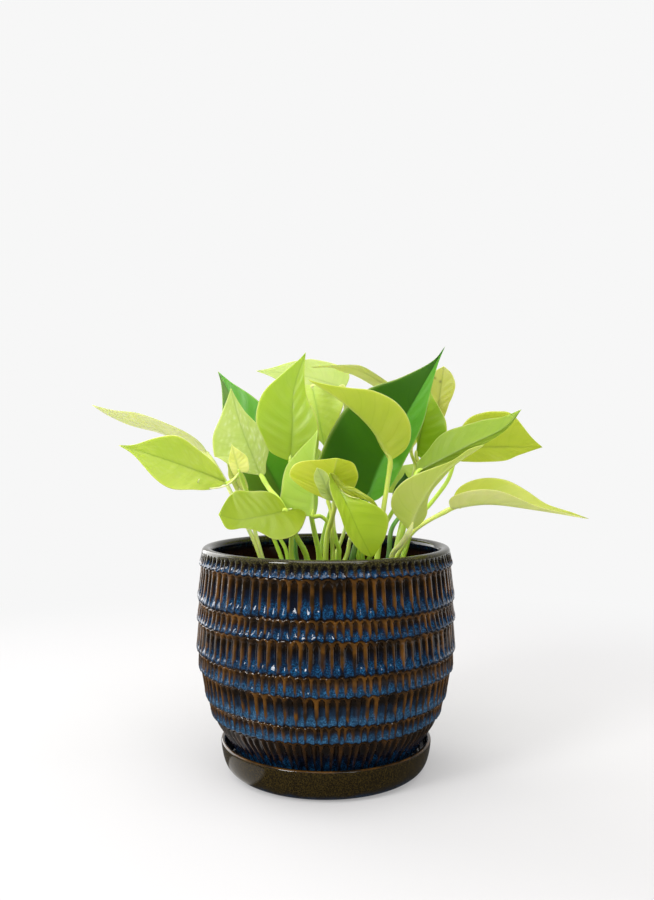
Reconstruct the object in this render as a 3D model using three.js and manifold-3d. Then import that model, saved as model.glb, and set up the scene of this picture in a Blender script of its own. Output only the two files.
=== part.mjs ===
// Potted neon pothos: a fluted stoneware pot with its saucer, soil, and sixteen leafy shoots.
// Millimetres, +Z up. Origin: centre of the saucer's underside, on the surface it stands on.
import * as THREE from 'three';
import { mergeVertices } from 'three/addons/utils/BufferGeometryUtils.js';
import Module from 'manifold-3d';

const wasm = await Module();
wasm.setup();

// Pot
const POT_BOTTOM = 6.3;
const POT_TOP = 152.7;
const FLUTES = 42;
const FLUTE_DEPTH = 1.5;
const TIER_FLARE = 1.3;
const TIER_STEP = 0.5;
const TIER_EDGE = 0.45;
const BEAD_FLARE = 0.8 * TIER_FLARE;
const BEAD_DEPTH = 0.6 * FLUTE_DEPTH;
const DRAIN_RADIUS = 6;
const DRAIN_TOP = 20;
const DRAIN_SEGMENTS = 16;
const ROUND_SEGMENTS = 42;
const FOOT_RADIUS = 57.5;
const FOOT_CHAMFER = 2;
const FOOT_CHAMFER_HEIGHT = 1.5;
// Heights of the lines between the fluted tiers, from under the rim band down to the foot.
const TIER_LINES = [150.3, 141, 116.7, 103.6, 82.8, 70.3, 51, 39.7, 14];
// Share of each tier's height that the flutes take before the smooth glaze bead begins.
const BEAD_START = 0.72;
// The rolled rim over the top tier, from outside to its crest: [height, radius].
const RIM = [[150.6, 85.4], [152, 84.2], [POT_TOP, 82.4]];
// Body of the pot without its flutes: [height, radius].
const BODY = [
  [6.3, 58], [9, 60], [14, 62], [20, 65.5], [27.5, 70], [34, 74.6], [40.7, 77.4], [48, 80.1], [55, 82],
  [65.3, 84.6], [75.5, 86.7], [86, 87.8], [96, 88], [108, 87.6], [124, 87.2], [137, 86.4], [149.3, 84.9],
];
// Hollow of the pot, from the floor to the inner lip and over the rim: [radius, height].
const HOLLOW = [
  [0, 14], [52, 14], [60, 23], [66.5, 33], [72, 43], [76.5, 56], [80, 72], [81.6, 92], [81.4, 118],
  [80.2, 143], [78.6, 146.5], [78.6, 150.5], [82.2, 154.5], [0, 154.5],
];

// Saucer
const SAUCER = [
  [0, 0], [60, 0], [64.5, 1.6], [69.5, 7.5], [71.8, 14], [72.5, 19], [71.9, 20.8], [70.4, 21.2],
  [68.9, 20.2], [68.3, 16], [67.2, 9], [65, 6.4], [63, 6], [0, 6],
];

// Soil
const SOIL_GAP = 0.4;
const SOIL_BOTTOM = 14.4;
const SOIL_EDGE = 126.5;
const SOIL_CROWN = 129.5;
const SOIL_MOUND = [[60, 128], [30, 129]];
const HOLLOW_STEPS_IN_SOIL = 7;
const HOLE_GAP = 0.35;
const HOLE_TOP = 140;
const SOIL_SEGMENTS = 32;

// Shoots
const STEM_RADIUS = 2.6;
const STEM_FOOT = 112;
const STEM_HEAD = 133;
const BLADE_THICKNESS = 0.8;
const BLADE_ROWS = 7;
const BLADE_COLUMNS = 2;
// Shape of every blade: how its rows crowd towards the notch, where its lobes end, how round its
// margin is, and how far the side veins slant from the midrib to the margin.
const SPACING = 1.2;
const LOBE_END = 0.45;
const ROUNDNESS = 0.95;
const VEIN_SLANT = 0.1;
// How far off a blade's neighbouring points lie, along it and across it, when its normal is taken.
const NEAR = 0.02;
const BESIDE = 0.25;
const STALK_SIDES = 5;
const STALK_STEP = 13;
const STALK_STEPS = [3, 8];
const STEM_SIDES = 10;
// The stalk starts this far below the stem's head and ends at this share of the blade's length.
const STALK_SUNK = 4;
const STALK_REACH = 0.18;

const NEON = new THREE.Color(0x9fc935);
const PALE = new THREE.Color(0xb9d46a);
const OLIVE = new THREE.Color(0xa4b93b);
const YELLOW = new THREE.Color(0xbfcf48);
const GREEN = new THREE.Color(0x2f6a1c);
const POT_GLAZE = new THREE.Color(0x2b2a2c);
const SAUCER_GLAZE = new THREE.Color(0x35301c);
const EARTH = new THREE.Color(0x2a1d15);
const LEAF_ROUGHNESS = 0.45;
const GLAZE_ROUGHNESS = 0.2;
const EARTH_ROUGHNESS = 0.95;

function toSolid(geometry) {
  const bare = geometry.index ? geometry.clone() : geometry;
  for (const name of Object.keys(bare.attributes)) {
    if (name !== 'position') bare.deleteAttribute(name);
  }
  const merged = mergeVertices(bare, 1e-4);
  return new wasm.Manifold(new wasm.Mesh({
    numProp: 3,
    vertProperties: new Float32Array(merged.attributes.position.array),
    triVerts: new Uint32Array(merged.index.array),
  }));
}

function toGeometry(body) {
  const mesh = body.getMesh();
  const points = new Float32Array(mesh.numVert * 3);
  for (let i = 0; i < mesh.numVert; i += 1) {
    for (let j = 0; j < 3; j += 1) points[3 * i + j] = mesh.vertProperties[i * mesh.numProp + j];
  }
  const geometry = new THREE.BufferGeometry();
  geometry.setAttribute('position', new THREE.BufferAttribute(points, 3));
  geometry.setIndex(new THREE.BufferAttribute(new Uint32Array(mesh.triVerts), 1));
  geometry.computeVertexNormals();
  return geometry;
}

function lathe(profile, segments) {
  const points = profile.map(([r, z]) => new THREE.Vector2(r, z));
  const geometry = new THREE.LatheGeometry(points, segments);
  geometry.rotateX(Math.PI / 2);
  return geometry;
}

function volumeOf(points, index) {
  let sum = 0;
  const a = new THREE.Vector3();
  const b = new THREE.Vector3();
  const c = new THREE.Vector3();
  for (let i = 0; i < index.length; i += 3) {
    a.copy(points[index[i]]);
    b.copy(points[index[i + 1]]);
    c.copy(points[index[i + 2]]);
    sum += a.dot(b.cross(c));
  }
  return sum / 6;
}

// Closed geometry from a list of points and triangles, turned so that its faces point out.
function closedGeometry(points, index) {
  const order = index.slice();
  if (volumeOf(points, order) < 0) {
    for (let i = 0; i < order.length; i += 3) [order[i], order[i + 1]] = [order[i + 1], order[i]];
  }
  const geometry = new THREE.BufferGeometry().setFromPoints(points);
  geometry.setIndex(order);
  return geometry;
}

function along(table, at) {
  if (at <= table[0][0]) return table[0][1];
  for (let i = 1; i < table.length; i += 1) {
    const [x0, y0] = table[i - 1];
    const [x1, y1] = table[i];
    if (at <= x1) return y0 + ((y1 - y0) * (at - x0)) / (x1 - x0);
  }
  return table[table.length - 1][1];
}

// Rows of the pot's outside: height, radius and how deep the flutes are cut in that row.
function potRows() {
  const rows = [
    { z: POT_BOTTOM, r: FOOT_RADIUS, cut: 0 },
    { z: POT_BOTTOM + FOOT_CHAMFER_HEIGHT, r: FOOT_RADIUS + FOOT_CHAMFER, cut: 0 },
  ];
  const lowest = TIER_LINES.length - 2;
  for (let i = lowest; i >= 0; i -= 1) {
    const top = TIER_LINES[i];
    const foot = TIER_LINES[i + 1];
    const bead = top - BEAD_START * (top - foot);
    const footZ = foot + TIER_EDGE;
    const headZ = top - TIER_EDGE;
    const flare = i === lowest ? 0 : TIER_FLARE;
    rows.push({ z: footZ, r: along(BODY, footZ) + flare, cut: 0 });
    rows.push({ z: bead, r: along(BODY, bead) + BEAD_FLARE, cut: BEAD_DEPTH });
    rows.push({ z: headZ, r: along(BODY, headZ) + TIER_STEP, cut: FLUTE_DEPTH });
  }
  for (const [z, r] of RIM) rows.push({ z, r, cut: 0 });
  return rows;
}

function potShell() {
  const rows = potRows();
  const count = 2 * FLUTES;
  const points = [];
  const index = [];
  for (const row of rows) {
    for (let j = 0; j < count; j += 1) {
      const angle = (2 * Math.PI * j) / count;
      const r = row.r - (j % 2 ? row.cut : 0);
      points.push(new THREE.Vector3(r * Math.cos(angle), r * Math.sin(angle), row.z));
    }
  }
  for (let i = 0; i + 1 < rows.length; i += 1) {
    for (let j = 0; j < count; j += 1) {
      const a = i * count + j;
      const b = i * count + ((j + 1) % count);
      index.push(a, b, a + count, b, b + count, a + count);
    }
  }
  const low = points.push(new THREE.Vector3(0, 0, POT_BOTTOM)) - 1;
  const high = points.push(new THREE.Vector3(0, 0, POT_TOP)) - 1;
  const last = (rows.length - 1) * count;
  for (let j = 0; j < count; j += 1) {
    const k = (j + 1) % count;
    index.push(low, k, j);
    index.push(high, last + j, last + k);
  }
  return closedGeometry(points, index);
}

function cylinder(radius, foot, head, sides, x = 0, y = 0) {
  const geometry = new THREE.CylinderGeometry(radius, radius, head - foot, sides);
  geometry.rotateX(Math.PI / 2);
  geometry.translate(x, y, (foot + head) / 2);
  return geometry;
}

// Outline of one half of a blade: q runs from the notch round the lobe (0) to the tip (1).
// Gives the share of the length along the blade and the share of the half width. The lobe reaches
// back behind the notch, peak moves the widest place and drip draws the tip out.
function margin(q, lobe, peak, drip) {
  const x = q ** SPACING - lobe * Math.sin(Math.PI * Math.min(1, q / LOBE_END));
  const y = Math.max(0, Math.sin(Math.PI * q ** peak)) ** (ROUNDNESS + drip * q ** 3);
  return [x, y];
}

// One point of a blade. t runs from the left margin (-1) over the midrib (0) to the right margin (1).
function bladePoint(leaf, q, t) {
  const { base, tip, up, half } = leaf;
  const { bow = 0, sway = 0, peak = 0.8, drip = 0.6 } = leaf;
  const right = t >= 0 ? 1 : 0;
  const side = right ? 1 : -1;
  const tau = Math.abs(t);
  const lobe = (leaf.lobe ?? [0.2, 0.2])[right];
  const fold = (leaf.fold ?? [12, 12])[right];
  const curl = (leaf.curl ?? [0, 0])[right];
  const lap = (leaf.lap ?? [0, 0])[right];
  const start = new THREE.Vector3(...base);
  const chord = new THREE.Vector3(...tip).sub(start);
  const length = chord.length();
  const a = chord.clone().normalize();
  const n = new THREE.Vector3(...up);
  n.addScaledVector(a, -n.dot(a)).normalize();
  const s = new THREE.Vector3().crossVectors(n, a);
  const [mx, my] = margin(q, lobe, peak, drip);
  const rib = q ** SPACING - VEIN_SLANT * Math.sin(Math.PI * q);
  const x = rib + (mx - rib) * tau;
  const y = my * tau * half[right];
  const arch = x < 0 ? 4 * x : 4 * x * (1 - x);
  const slope = x < 0 ? 4 : 4 * (1 - 2 * x);
  const tangent = a.clone().multiplyScalar(length).addScaledVector(n, bow * slope);
  tangent.addScaledVector(s, -sway * slope).normalize();
  const point = start.clone().addScaledVector(a, length * x).addScaledVector(n, bow * arch);
  point.addScaledVector(s, -sway * arch);
  const lift = n.clone().addScaledVector(tangent, -n.dot(tangent)).normalize();
  const across = new THREE.Vector3().crossVectors(lift, tangent);
  const bend = THREE.MathUtils.degToRad(fold + lap * (1 - q) ** 2 + 0.5 * curl * tau);
  point.addScaledVector(across, -side * y * Math.cos(bend));
  return point.addScaledVector(lift, y * Math.sin(bend));
}

// Direction square to the blade at that point, taken from its neighbours and kept off the two ends.
function bladeNormal(leaf, q, t) {
  const q0 = Math.min(Math.max(q, 2 * NEAR), 1 - 2 * NEAR);
  const alongRib = bladePoint(leaf, q0 + NEAR, t).sub(bladePoint(leaf, q0 - NEAR, t));
  const left = bladePoint(leaf, q0, Math.max(-1, t - BESIDE));
  const right = bladePoint(leaf, q0, Math.min(1, t + BESIDE));
  return right.sub(left).cross(alongRib).normalize();
}

// A blade as a thin closed plate: both faces follow the same surface, half the thickness to each side.
function bladeGeometry(leaf) {
  const columns = 2 * BLADE_COLUMNS + 1;
  const points = [];
  const index = [];
  for (const face of [1, -1]) {
    for (let i = 0; i <= BLADE_ROWS; i += 1) {
      for (let j = 0; j < columns; j += 1) {
        const q = i / BLADE_ROWS;
        const t = j / BLADE_COLUMNS - 1;
        if ((i === 0 || i === BLADE_ROWS) && j > 0) continue;
        const normal = bladeNormal(leaf, q, t);
        points.push(bladePoint(leaf, q, t).addScaledVector(normal, (face * BLADE_THICKNESS) / 2));
      }
    }
  }
  const half = points.length / 2;
  const at = (face, i, j) => {
    const shift = face * half;
    if (i === 0) return shift;
    if (i === BLADE_ROWS) return shift + half - 1;
    return shift + 1 + (i - 1) * columns + j;
  };
  const add = (a, b, c) => {
    if (a !== b && b !== c && c !== a) index.push(a, b, c);
  };
  for (let i = 0; i < BLADE_ROWS; i += 1) {
    for (let j = 0; j + 1 < columns; j += 1) {
      const a = [at(0, i, j), at(0, i + 1, j), at(0, i + 1, j + 1), at(0, i, j + 1)];
      const b = a.map((k) => k + half);
      add(a[0], a[1], a[2]);
      add(a[0], a[2], a[3]);
      add(b[0], b[2], b[1]);
      add(b[0], b[3], b[2]);
    }
    for (const j of [0, columns - 1]) {
      const a = at(0, i, j);
      const b = at(0, i + 1, j);
      const flip = j === 0;
      add(flip ? b : a, flip ? a : b, (flip ? a : b) + half);
      add(flip ? b : a, (flip ? a : b) + half, (flip ? b : a) + half);
    }
  }
  return closedGeometry(points, index);
}

function stalkGeometry(route, radius) {
  const curve = new THREE.CatmullRomCurve3(route.map((p) => new THREE.Vector3(...p)));
  const section = new THREE.Shape();
  for (let i = 0; i < STALK_SIDES; i += 1) {
    const angle = (2 * Math.PI * i) / STALK_SIDES;
    const x = radius * Math.cos(angle);
    const y = radius * Math.sin(angle);
    if (i === 0) section.moveTo(x, y);
    else section.lineTo(x, y);
  }
  section.closePath();
  const wanted = Math.round(curve.getLength() / STALK_STEP);
  const steps = Math.min(STALK_STEPS[1], Math.max(STALK_STEPS[0], wanted));
  return new THREE.ExtrudeGeometry(section, { steps, bevelEnabled: false, extrudePath: curve });
}

// Each shoot: where its stem stands in the soil, its colour, and its leaves.
// A leaf: where the blade meets its stalk, the tip, the way the upper face looks, the widths of the
// left and right half, and how it bows, sways, folds and curls. The stalk runs through "via".
const SHOOTS = [
  { name: 'shoot_far_left', root: [-39, -4], colour: PALE, leaves: [
    { base: [-81, 6, 215], tip: [-172, 30, 252], up: [0.25, 0.35, 0.9], half: [22, 22], bow: 1,
      fold: [4, 8], curl: [5, 10], lobe: [0.03, 0.03],
      via: [[-46, -3, 146], [-51, -2, 158], [-60, 0, 176], [-72, 4, 199]], stalk: 1.7 },
    { base: [-58, 2, 193], tip: [-70, 0, 211], up: [0.2, -0.9, 0.2], half: [6, 7],
      fold: [20, 20], via: [[-45, -3, 147], [-52, 0, 170]], stalk: 1.5 },
  ] },
  { name: 'shoot_left', root: [-25, -14], colour: NEON, leaves: [
    { base: [-67, -22, 197], tip: [-129, -65, 222], up: [0.2, -0.7, 0.7], half: [25, 19], bow: 3,
      fold: [8, 12], curl: [10, 10], lobe: [0, 0.06], peak: 1.15, drip: 0.3,
      via: [[-31, -14, 147], [-40, -16, 168], [-53, -22, 190], [-57, -27, 203], [-62, -24, 199]],
      stalk: 1.4 },
    { base: [-57, -35, 204.5], tip: [-62, -37, 223], up: [0.05, -1, 0.1], half: [5, 7],
      fold: [10, 15], via: [[-31, -14, 147], [-40, -16, 168], [-53, -26, 192]], stalk: 1.2 },
  ] },
  { name: 'shoot_front_left', root: [-16, -35], colour: NEON, leaves: [
    { base: [-44.5, -10, 200.5], tip: [-66, -4, 262], up: [-0.2, -0.9, 0.3], half: [30, 17], bow: 3,
      fold: [6, 6], peak: 0.7,
      via: [[-12.5, -33, 147], [-20.5, -35, 164], [-29, -34, 183], [-38, -24, 193]], stalk: 1.8 },
    { base: [-26, -45, 180], tip: [-64, -68, 173], up: [0.05, -0.8, 0.6], half: [20, 24], bow: 4,
      fold: [8, 4], lobe: [0.42, 0.15], peak: 1, drip: 0.2, via: [[-22, -42, 149], [-22.5, -43.5, 166]],
      stalk: 1.7 },
  ] },
  { name: 'shoot_mid_left', root: [-2, -19], colour: NEON, leaves: [
    { base: [-24, -20, 211.5], tip: [-14, -4, 287], up: [0.1, -0.95, 0.3], half: [26, 18], bow: 4,
      sway: -4, fold: [6, 14], peak: 0.85,
      via: [[-4.5, -14, 147], [-8.5, -13, 166], [-13, -13, 188], [-20, -17, 205]], stalk: 1.7 },
    { base: [-8.5, -28, 175], tip: [-5.5, -24, 232.5], up: [0, 1, 0.1], half: [5, 25],
      fold: [60, 5], lobe: [0.1, 0.1], via: [[-4.7, -24, 147], [-8, -27, 163]], stalk: 1.9 },
  ] },
  { name: 'shoot_centre', root: [2, -38], colour: OLIVE, leaves: [
    { base: [1.3, -34, 186], tip: [7, -60, 214], up: [0, 0.7, 0.7], half: [19, 30], bow: 2,
      fold: [5, -5], peak: 1.25, drip: -0.5, via: [[-1.5, -38, 147], [0, -37, 165]], stalk: 1.7 },
    { base: [2.5, -58, 204.5], tip: [31, -60, 150], up: [0.1, -1, 0.1], half: [18, 14], bow: 6,
      fold: [6, 30], lap: [30, 100], lobe: [-0.06, 0.1], peak: 0.95, drip: -0.5,
      via: [[3, -41, 147], [4, -44, 166], [5, -51, 186]], stalk: 1.8 },
  ] },
  { name: 'shoot_upright', root: [31, -18], colour: OLIVE, leaves: [
    { base: [44, -12, 212], tip: [-12, -42, 265], up: [0.1, 0.95, 0.4], half: [28, 12], sway: -7,
      fold: [5, 75], lobe: [0.08, 0.08], peak: 0.76, via: [[35, -18, 148], [39, -16, 178], [42, -13, 196]],
      stalk: 1.9 },
  ] },
  { name: 'shoot_front_right', root: [43, -38], colour: PALE, leaves: [
    { base: [54, -45, 167], tip: [97, -75, 222.5], up: [0, 0.95, 0.5], half: [14, 23], sway: 7,
      fold: [30, 5], lobe: [0.03, 0.03], drip: 1, via: [[46.5, -42, 149], [50, -44, 158]], stalk: 1.9 },
  ] },
  { name: 'shoot_low_right', root: [33, -29], colour: YELLOW, leaves: [
    { base: [82, -22, 180], tip: [168.5, -50, 175], up: [0, -0.05, 1], half: [25, 25], bow: 5,
      fold: [45, 25], drip: 2.4, via: [[43, -28, 148], [61, -26, 166]], stalk: 1.8 },
  ] },
  { name: 'shoot_right', root: [48, -3], colour: NEON, leaves: [
    { base: [61.5, -16, 203.5], tip: [127.5, -40, 245.5], up: [-0.3, -0.8, 0.6], half: [13, 18], bow: 2,
      fold: [8, -20], drip: 0.3, via: [[49, -10, 147], [53, -15, 166], [58, -18, 186]], stalk: 1.8 },
    { base: [88, 10, 215.5], tip: [159, 30, 221], up: [0.2, -0.9, 0.4], half: [29, 15], bow: 3,
      fold: [5, 0], peak: 1, via: [[57, 2, 147], [73, 3, 181], [84, 6, 202]], stalk: 1.8 },
  ] },
  { name: 'shoot_back_right', root: [45, 18], colour: YELLOW, leaves: [
    { base: [84, 45, 238], tip: [91, 55, 284], up: [0, -1, 0.1], half: [12, 12], bow: 2,
      fold: [10, 10], via: [[56, 26, 170], [70, 36, 210]], stalk: 1.7 },
    { base: [64.5, 28, 215.5], tip: [77.5, 40, 265], up: [0, -1, 0.3], half: [14, 19], bow: 2,
      fold: [10, 10], via: [[54, 20, 160], [64, 27, 198]], stalk: 1.5 },
  ] },
  { name: 'shoot_crown', root: [6, 24], colour: PALE, leaves: [
    { base: [14, 44, 265.5], tip: [-51, 24, 276.5], up: [-0.1, -0.7, 0.7], half: [11, 24], bow: 3,
      fold: [5, 0], via: [[11, 30, 162], [15, 38, 200], [18, 45, 240]], stalk: 1.6 },
    { base: [-10, 17, 265], tip: [-1, 13, 221], up: [0, -1, 0.1], half: [17, 18], bow: 2,
      fold: [10, 10], via: [[11, 25, 162], [14, 27, 200], [9, 26, 244], [-2, 21, 263]], stalk: 1.7 },
    { base: [49.5, 38, 264.5], tip: [-11, 0, 277], up: [0.1, 0.15, 1], half: [13, 15], bow: 4,
      fold: [0, 0], peak: 0.9, via: [[16, 26, 162], [27, 30, 200], [40, 36, 240]], stalk: 1.6 },
  ] },
  { name: 'shoot_green_left', root: [-18, 8], colour: GREEN, leaves: [
    { base: [-29.5, 18, 183], tip: [-81, 42, 278], up: [0, -1, 0.3], half: [26, 21], bow: 3,
      fold: [8, 8], via: [[-20.5, 10, 146], [-25, 14, 165]], stalk: 1.9 },
  ] },
  { name: 'shoot_green_centre', root: [14, 5], colour: GREEN, leaves: [
    { base: [28, 4, 182.5], tip: [85.5, 16, 293.5], up: [0.1, -0.97, 0.1], half: [40, 24],
      sway: -8, fold: [2, 14], drip: 1.7, via: [[19, 4, 145], [24, 4, 165]], stalk: 2.1 },
  ] },
  { name: 'shoot_green_right', root: [40, -8], colour: GREEN, leaves: [
    { base: [56, 14, 177], tip: [57, 20, 203], up: [0, -1, 0.1], half: [9, 9], bow: 2,
      fold: [8, 8], via: [[44, -4, 147], [52, 6, 166]], stalk: 1.7 },
  ] },
  { name: 'shoot_rear_left', root: [-8, 39], colour: NEON, leaves: [
    { base: [-21, 60, 202], tip: [-37, 122, 224], up: [0, 0, 1], half: [24, 24], bow: 4,
      fold: [12, 12], via: [[-13, 48, 165]], stalk: 1.7 },
    { base: [10, 66, 190], tip: [16, 130, 176], up: [0, 0.3, 1], half: [23, 23], bow: 6,
      fold: [10, 10], via: [[0, 50, 162]], stalk: 1.7 },
    { base: [-42, 50, 180], tip: [-77, 86, 208], up: [-0.2, 0, 1], half: [20, 20], bow: 3,
      fold: [12, 12], via: [[-24, 41, 158]], stalk: 1.7 },
  ] },
  { name: 'shoot_rear_right', root: [27, 41], colour: NEON, leaves: [
    { base: [32, 62, 205], tip: [40, 122, 228], up: [0, 0, 1], half: [24, 24], bow: 4,
      fold: [12, 12], via: [[28, 48, 165]], stalk: 1.7 },
    { base: [12, 56, 226], tip: [-2, 118, 244], up: [0, 0.1, 1], half: [22, 22], bow: 4,
      fold: [10, 10], via: [[18, 48, 175]], stalk: 1.7 },
    { base: [58, 50, 186], tip: [90, 98, 208], up: [0.2, 0, 1], half: [20, 20], bow: 4,
      fold: [10, 10], via: [[40, 42, 155]], stalk: 1.7 },
  ] },
];

// A shoot in one body: the stem, each leaf's stalk running a little way in under the blade, and the blades.
function shootGeometry(shoot) {
  const [x, y] = shoot.root;
  let body = toSolid(cylinder(STEM_RADIUS, STEM_FOOT, STEM_HEAD, STEM_SIDES, x, y));
  for (const leaf of shoot.leaves) {
    const inner = bladePoint(leaf, STALK_REACH, 0).toArray();
    const route = [[x, y, STEM_HEAD - STALK_SUNK], ...leaf.via, leaf.base, inner];
    body = body.add(toSolid(stalkGeometry(route, leaf.stalk)));
    body = body.add(toSolid(bladeGeometry(leaf)));
  }
  return toGeometry(body);
}

function mesh(name, geometry, colour, roughness) {
  const material = new THREE.MeshStandardMaterial({ color: colour, roughness, metalness: 0 });
  const result = new THREE.Mesh(geometry, material);
  result.name = name;
  return result;
}

const group = new THREE.Group();

let pot = toSolid(potShell());
pot = pot.subtract(toSolid(lathe(HOLLOW, ROUND_SEGMENTS)));
pot = pot.subtract(toSolid(cylinder(DRAIN_RADIUS, 0, DRAIN_TOP, DRAIN_SEGMENTS)));
group.add(mesh('pot', toGeometry(pot), POT_GLAZE, GLAZE_ROUGHNESS));

const saucer = toGeometry(toSolid(lathe(SAUCER, ROUND_SEGMENTS)));
group.add(mesh('saucer', saucer, SAUCER_GLAZE, GLAZE_ROUGHNESS));

// The soil fills the hollow up to its top, with a plain hole for each stem.
const soilProfile = [[0, SOIL_BOTTOM]];
for (const [r, z] of HOLLOW.slice(1, 1 + HOLLOW_STEPS_IN_SOIL)) {
  soilProfile.push([r - SOIL_GAP, z + SOIL_GAP]);
}
const wall = HOLLOW.slice(HOLLOW_STEPS_IN_SOIL, HOLLOW_STEPS_IN_SOIL + 3).map(([r, z]) => [z, r]);
soilProfile.push([along(wall, SOIL_EDGE) - SOIL_GAP, SOIL_EDGE], ...SOIL_MOUND, [0, SOIL_CROWN]);
let soil = toSolid(lathe(soilProfile, SOIL_SEGMENTS));
for (const { root: [x, y] } of SHOOTS) {
  const radius = STEM_RADIUS + HOLE_GAP;
  const hole = cylinder(radius, STEM_FOOT - HOLE_GAP, HOLE_TOP, STEM_SIDES, x, y);
  soil = soil.subtract(toSolid(hole));
}
group.add(mesh('soil', toGeometry(soil), EARTH, EARTH_ROUGHNESS));

for (const shoot of SHOOTS) {
  group.add(mesh(shoot.name, shootGeometry(shoot), shoot.colour, LEAF_ROUGHNESS));
}

export default group;
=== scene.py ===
"""Potted neon pothos: fluted stoneware pot on its saucer, soil, and leaves on long stalks.

Real sizes are in millimetres and become metres only when a mesh is made. The origin is the centre of
the saucer's underside, +Z is up, +X is to the right and -Y is towards the viewer.
"""

from functools import partial

import bpy
import numpy as np
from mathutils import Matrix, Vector


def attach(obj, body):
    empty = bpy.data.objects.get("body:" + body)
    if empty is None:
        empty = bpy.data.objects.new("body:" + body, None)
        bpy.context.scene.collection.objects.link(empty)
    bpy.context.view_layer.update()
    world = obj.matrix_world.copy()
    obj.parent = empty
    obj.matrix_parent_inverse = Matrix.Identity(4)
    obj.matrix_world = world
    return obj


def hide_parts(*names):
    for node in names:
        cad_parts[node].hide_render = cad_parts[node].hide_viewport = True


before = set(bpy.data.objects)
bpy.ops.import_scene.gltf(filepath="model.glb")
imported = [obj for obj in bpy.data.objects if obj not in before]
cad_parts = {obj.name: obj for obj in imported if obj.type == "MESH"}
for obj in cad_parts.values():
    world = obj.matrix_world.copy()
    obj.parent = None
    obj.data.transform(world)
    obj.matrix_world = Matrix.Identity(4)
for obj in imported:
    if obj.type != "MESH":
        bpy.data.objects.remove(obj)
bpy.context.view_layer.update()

bl_info = {
    "name": "Potted neon pothos",
    "version": (1, 0, 0),
    "blender": (4, 5, 0),
    "location": "View3D > Sidebar > Pothos",
    "description": "Makes a potted neon pothos in a fluted glazed pot",
    "category": "Add Mesh",
}

MM = 0.001
SEED = 41
TURN = 2 * np.pi
# What the light panels face, in metres.
PLANT_MIDDLE = (0, 0, 0.15)

# Heights of the lines between the pot's fluted tiers, from under the rim band down to the foot. Short and
# tall tiers take turns.
TIER_LINES = [150.3, 141, 116.7, 103.6, 82.8, 70.3, 51, 39.7, 14]
LAST_TIER = 7
# A short tier and a tall one: rings of points down the tier, millimetres over which the arch of a flute
# opens, its depth against a tall one's, how thick the glaze is where it is thin, where along the tier
# the thin glaze and the full pool set in, and how brown the upper part is and where that ends.
SHORT_TIER = {"steps": 12, "arch": 1.8, "depth": 0.85, "film": 0.3, "thin": (0.15, 0.5), "full": (0.42, 0.66),
              "crest": 0.24, "crest_end": (0.3, 0.55)}
TALL_TIER = {"steps": 18, "arch": 2.3, "depth": 1, "film": 0.34, "thin": (0.2, 0.5), "full": (0.54, 0.76),
             "crest": 0.28, "crest_end": (0.08, 0.3)}
# How far a tier steps in at its lower edge, how far the lip below that stands out, how deep the crease
# over the lip is, and how far the bead stands out.
STEP_IN = 0.55
LIP = 0.5
CREASE = 0.35
BEAD = 0.5
# Points round the pot: few enough for the pot to stay under 200,000 triangles.
POT_COLUMNS = 664
# The pot's outside without its flutes: [height, radius].
POT_BODY = [
    [8, 60], [14, 62.5], [20, 66], [27.5, 71], [34, 75.3], [40.7, 78.2], [48, 80.8], [55, 82.6],
    [65.3, 85.2], [75.5, 87.3], [86, 88.1], [96, 88.2], [108, 87.9], [124, 87.3], [137, 86.6], [149.3, 85.9],
]
# From the top tier over the rolled rim, down the inside and across the floor: [radius, height].
POT_RIM = [
    [85.9, 150.6], [85.3, 151.7], [84.2, 152.5], [82.7, 152.75], [81.1, 152.5], [79.7, 151.6], [78.8, 150.3],
    [78.4, 148.6], [78.5, 146.4], [79.3, 144.8], [80.4, 143], [81.4, 118], [81.6, 92], [79.6, 70], [75.8, 55],
    [71, 42], [65, 31], [58, 21], [50, 14], [6.5, 14],
]
# Through the drain hole and out over the foot ring: [radius, height].
POT_FOOT = [[6, 13], [6, 8.6], [7, 8], [50, 7.6], [54, 6.3], [57.5, 6.3], [59.4, 7.4], [61, 10], [62.4, 13.2]]
SAUCER_COLUMNS = 360
# From the middle of the saucer's underside round the rim to the middle of its floor: [radius, height].
SAUCER = [
    [0.01, 0], [40, 0], [59, 0], [62.6, 0.3], [65.6, 1.6], [68.2, 4], [70, 7.4], [71.2, 11.4], [72, 15.6],
    [72.4, 19], [72.3, 20.3], [71.6, 21], [70.5, 21.2], [69.5, 20.7], [68.9, 19.4], [68.5, 16], [67.6, 10.5],
    [66, 7.2], [63, 6.1], [58, 5.9], [30, 5.9], [0.01, 5.9],
]
# The soil stands 2.5 mm higher in the middle than at the pot's wall, which it follows down: [radius, height].
SOIL_TOP = 129
SOIL_FALL = 2.5
SOIL_REACH = 80.9
CRUMB_REACH = 77
SOIL_WALL = [
    [80.9, 126.5], [81, 118], [81.1, 92], [79.1, 70], [75.3, 55], [70.5, 42], [64.5, 31], [57.5, 21.5],
]
SOIL_FLOOR = 14.4

# Colours of the two faces of a leaf, named as a grower would.
TONES = {
    "lime": "9db42c", "apple": "93a522", "bright": "9eb535", "spring": "8fa636", "pear": "b3c254",
    "lemon": "adb342", "butter": "e2e48c", "maize": "b1b15c", "pistachio": "b9c776", "moss": "a7be2d",
    "fern_lime": "89a818", "citron": "a0aa2c", "honeydew": "d0d84a", "quince": "dfe65c", "olive": "d0d460",
    "chartreuse": "c5cf52", "willow": "bbc566", "sage": "cfd386", "linen": "eceac6", "cream": "dcdfa8",
    "green": "316406", "emerald": "5a9c2c", "fern": "5a8028", "avocado": "b9d55e", "celery": "dde09c",
    "sorrel": "c9dc72",
}
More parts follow.
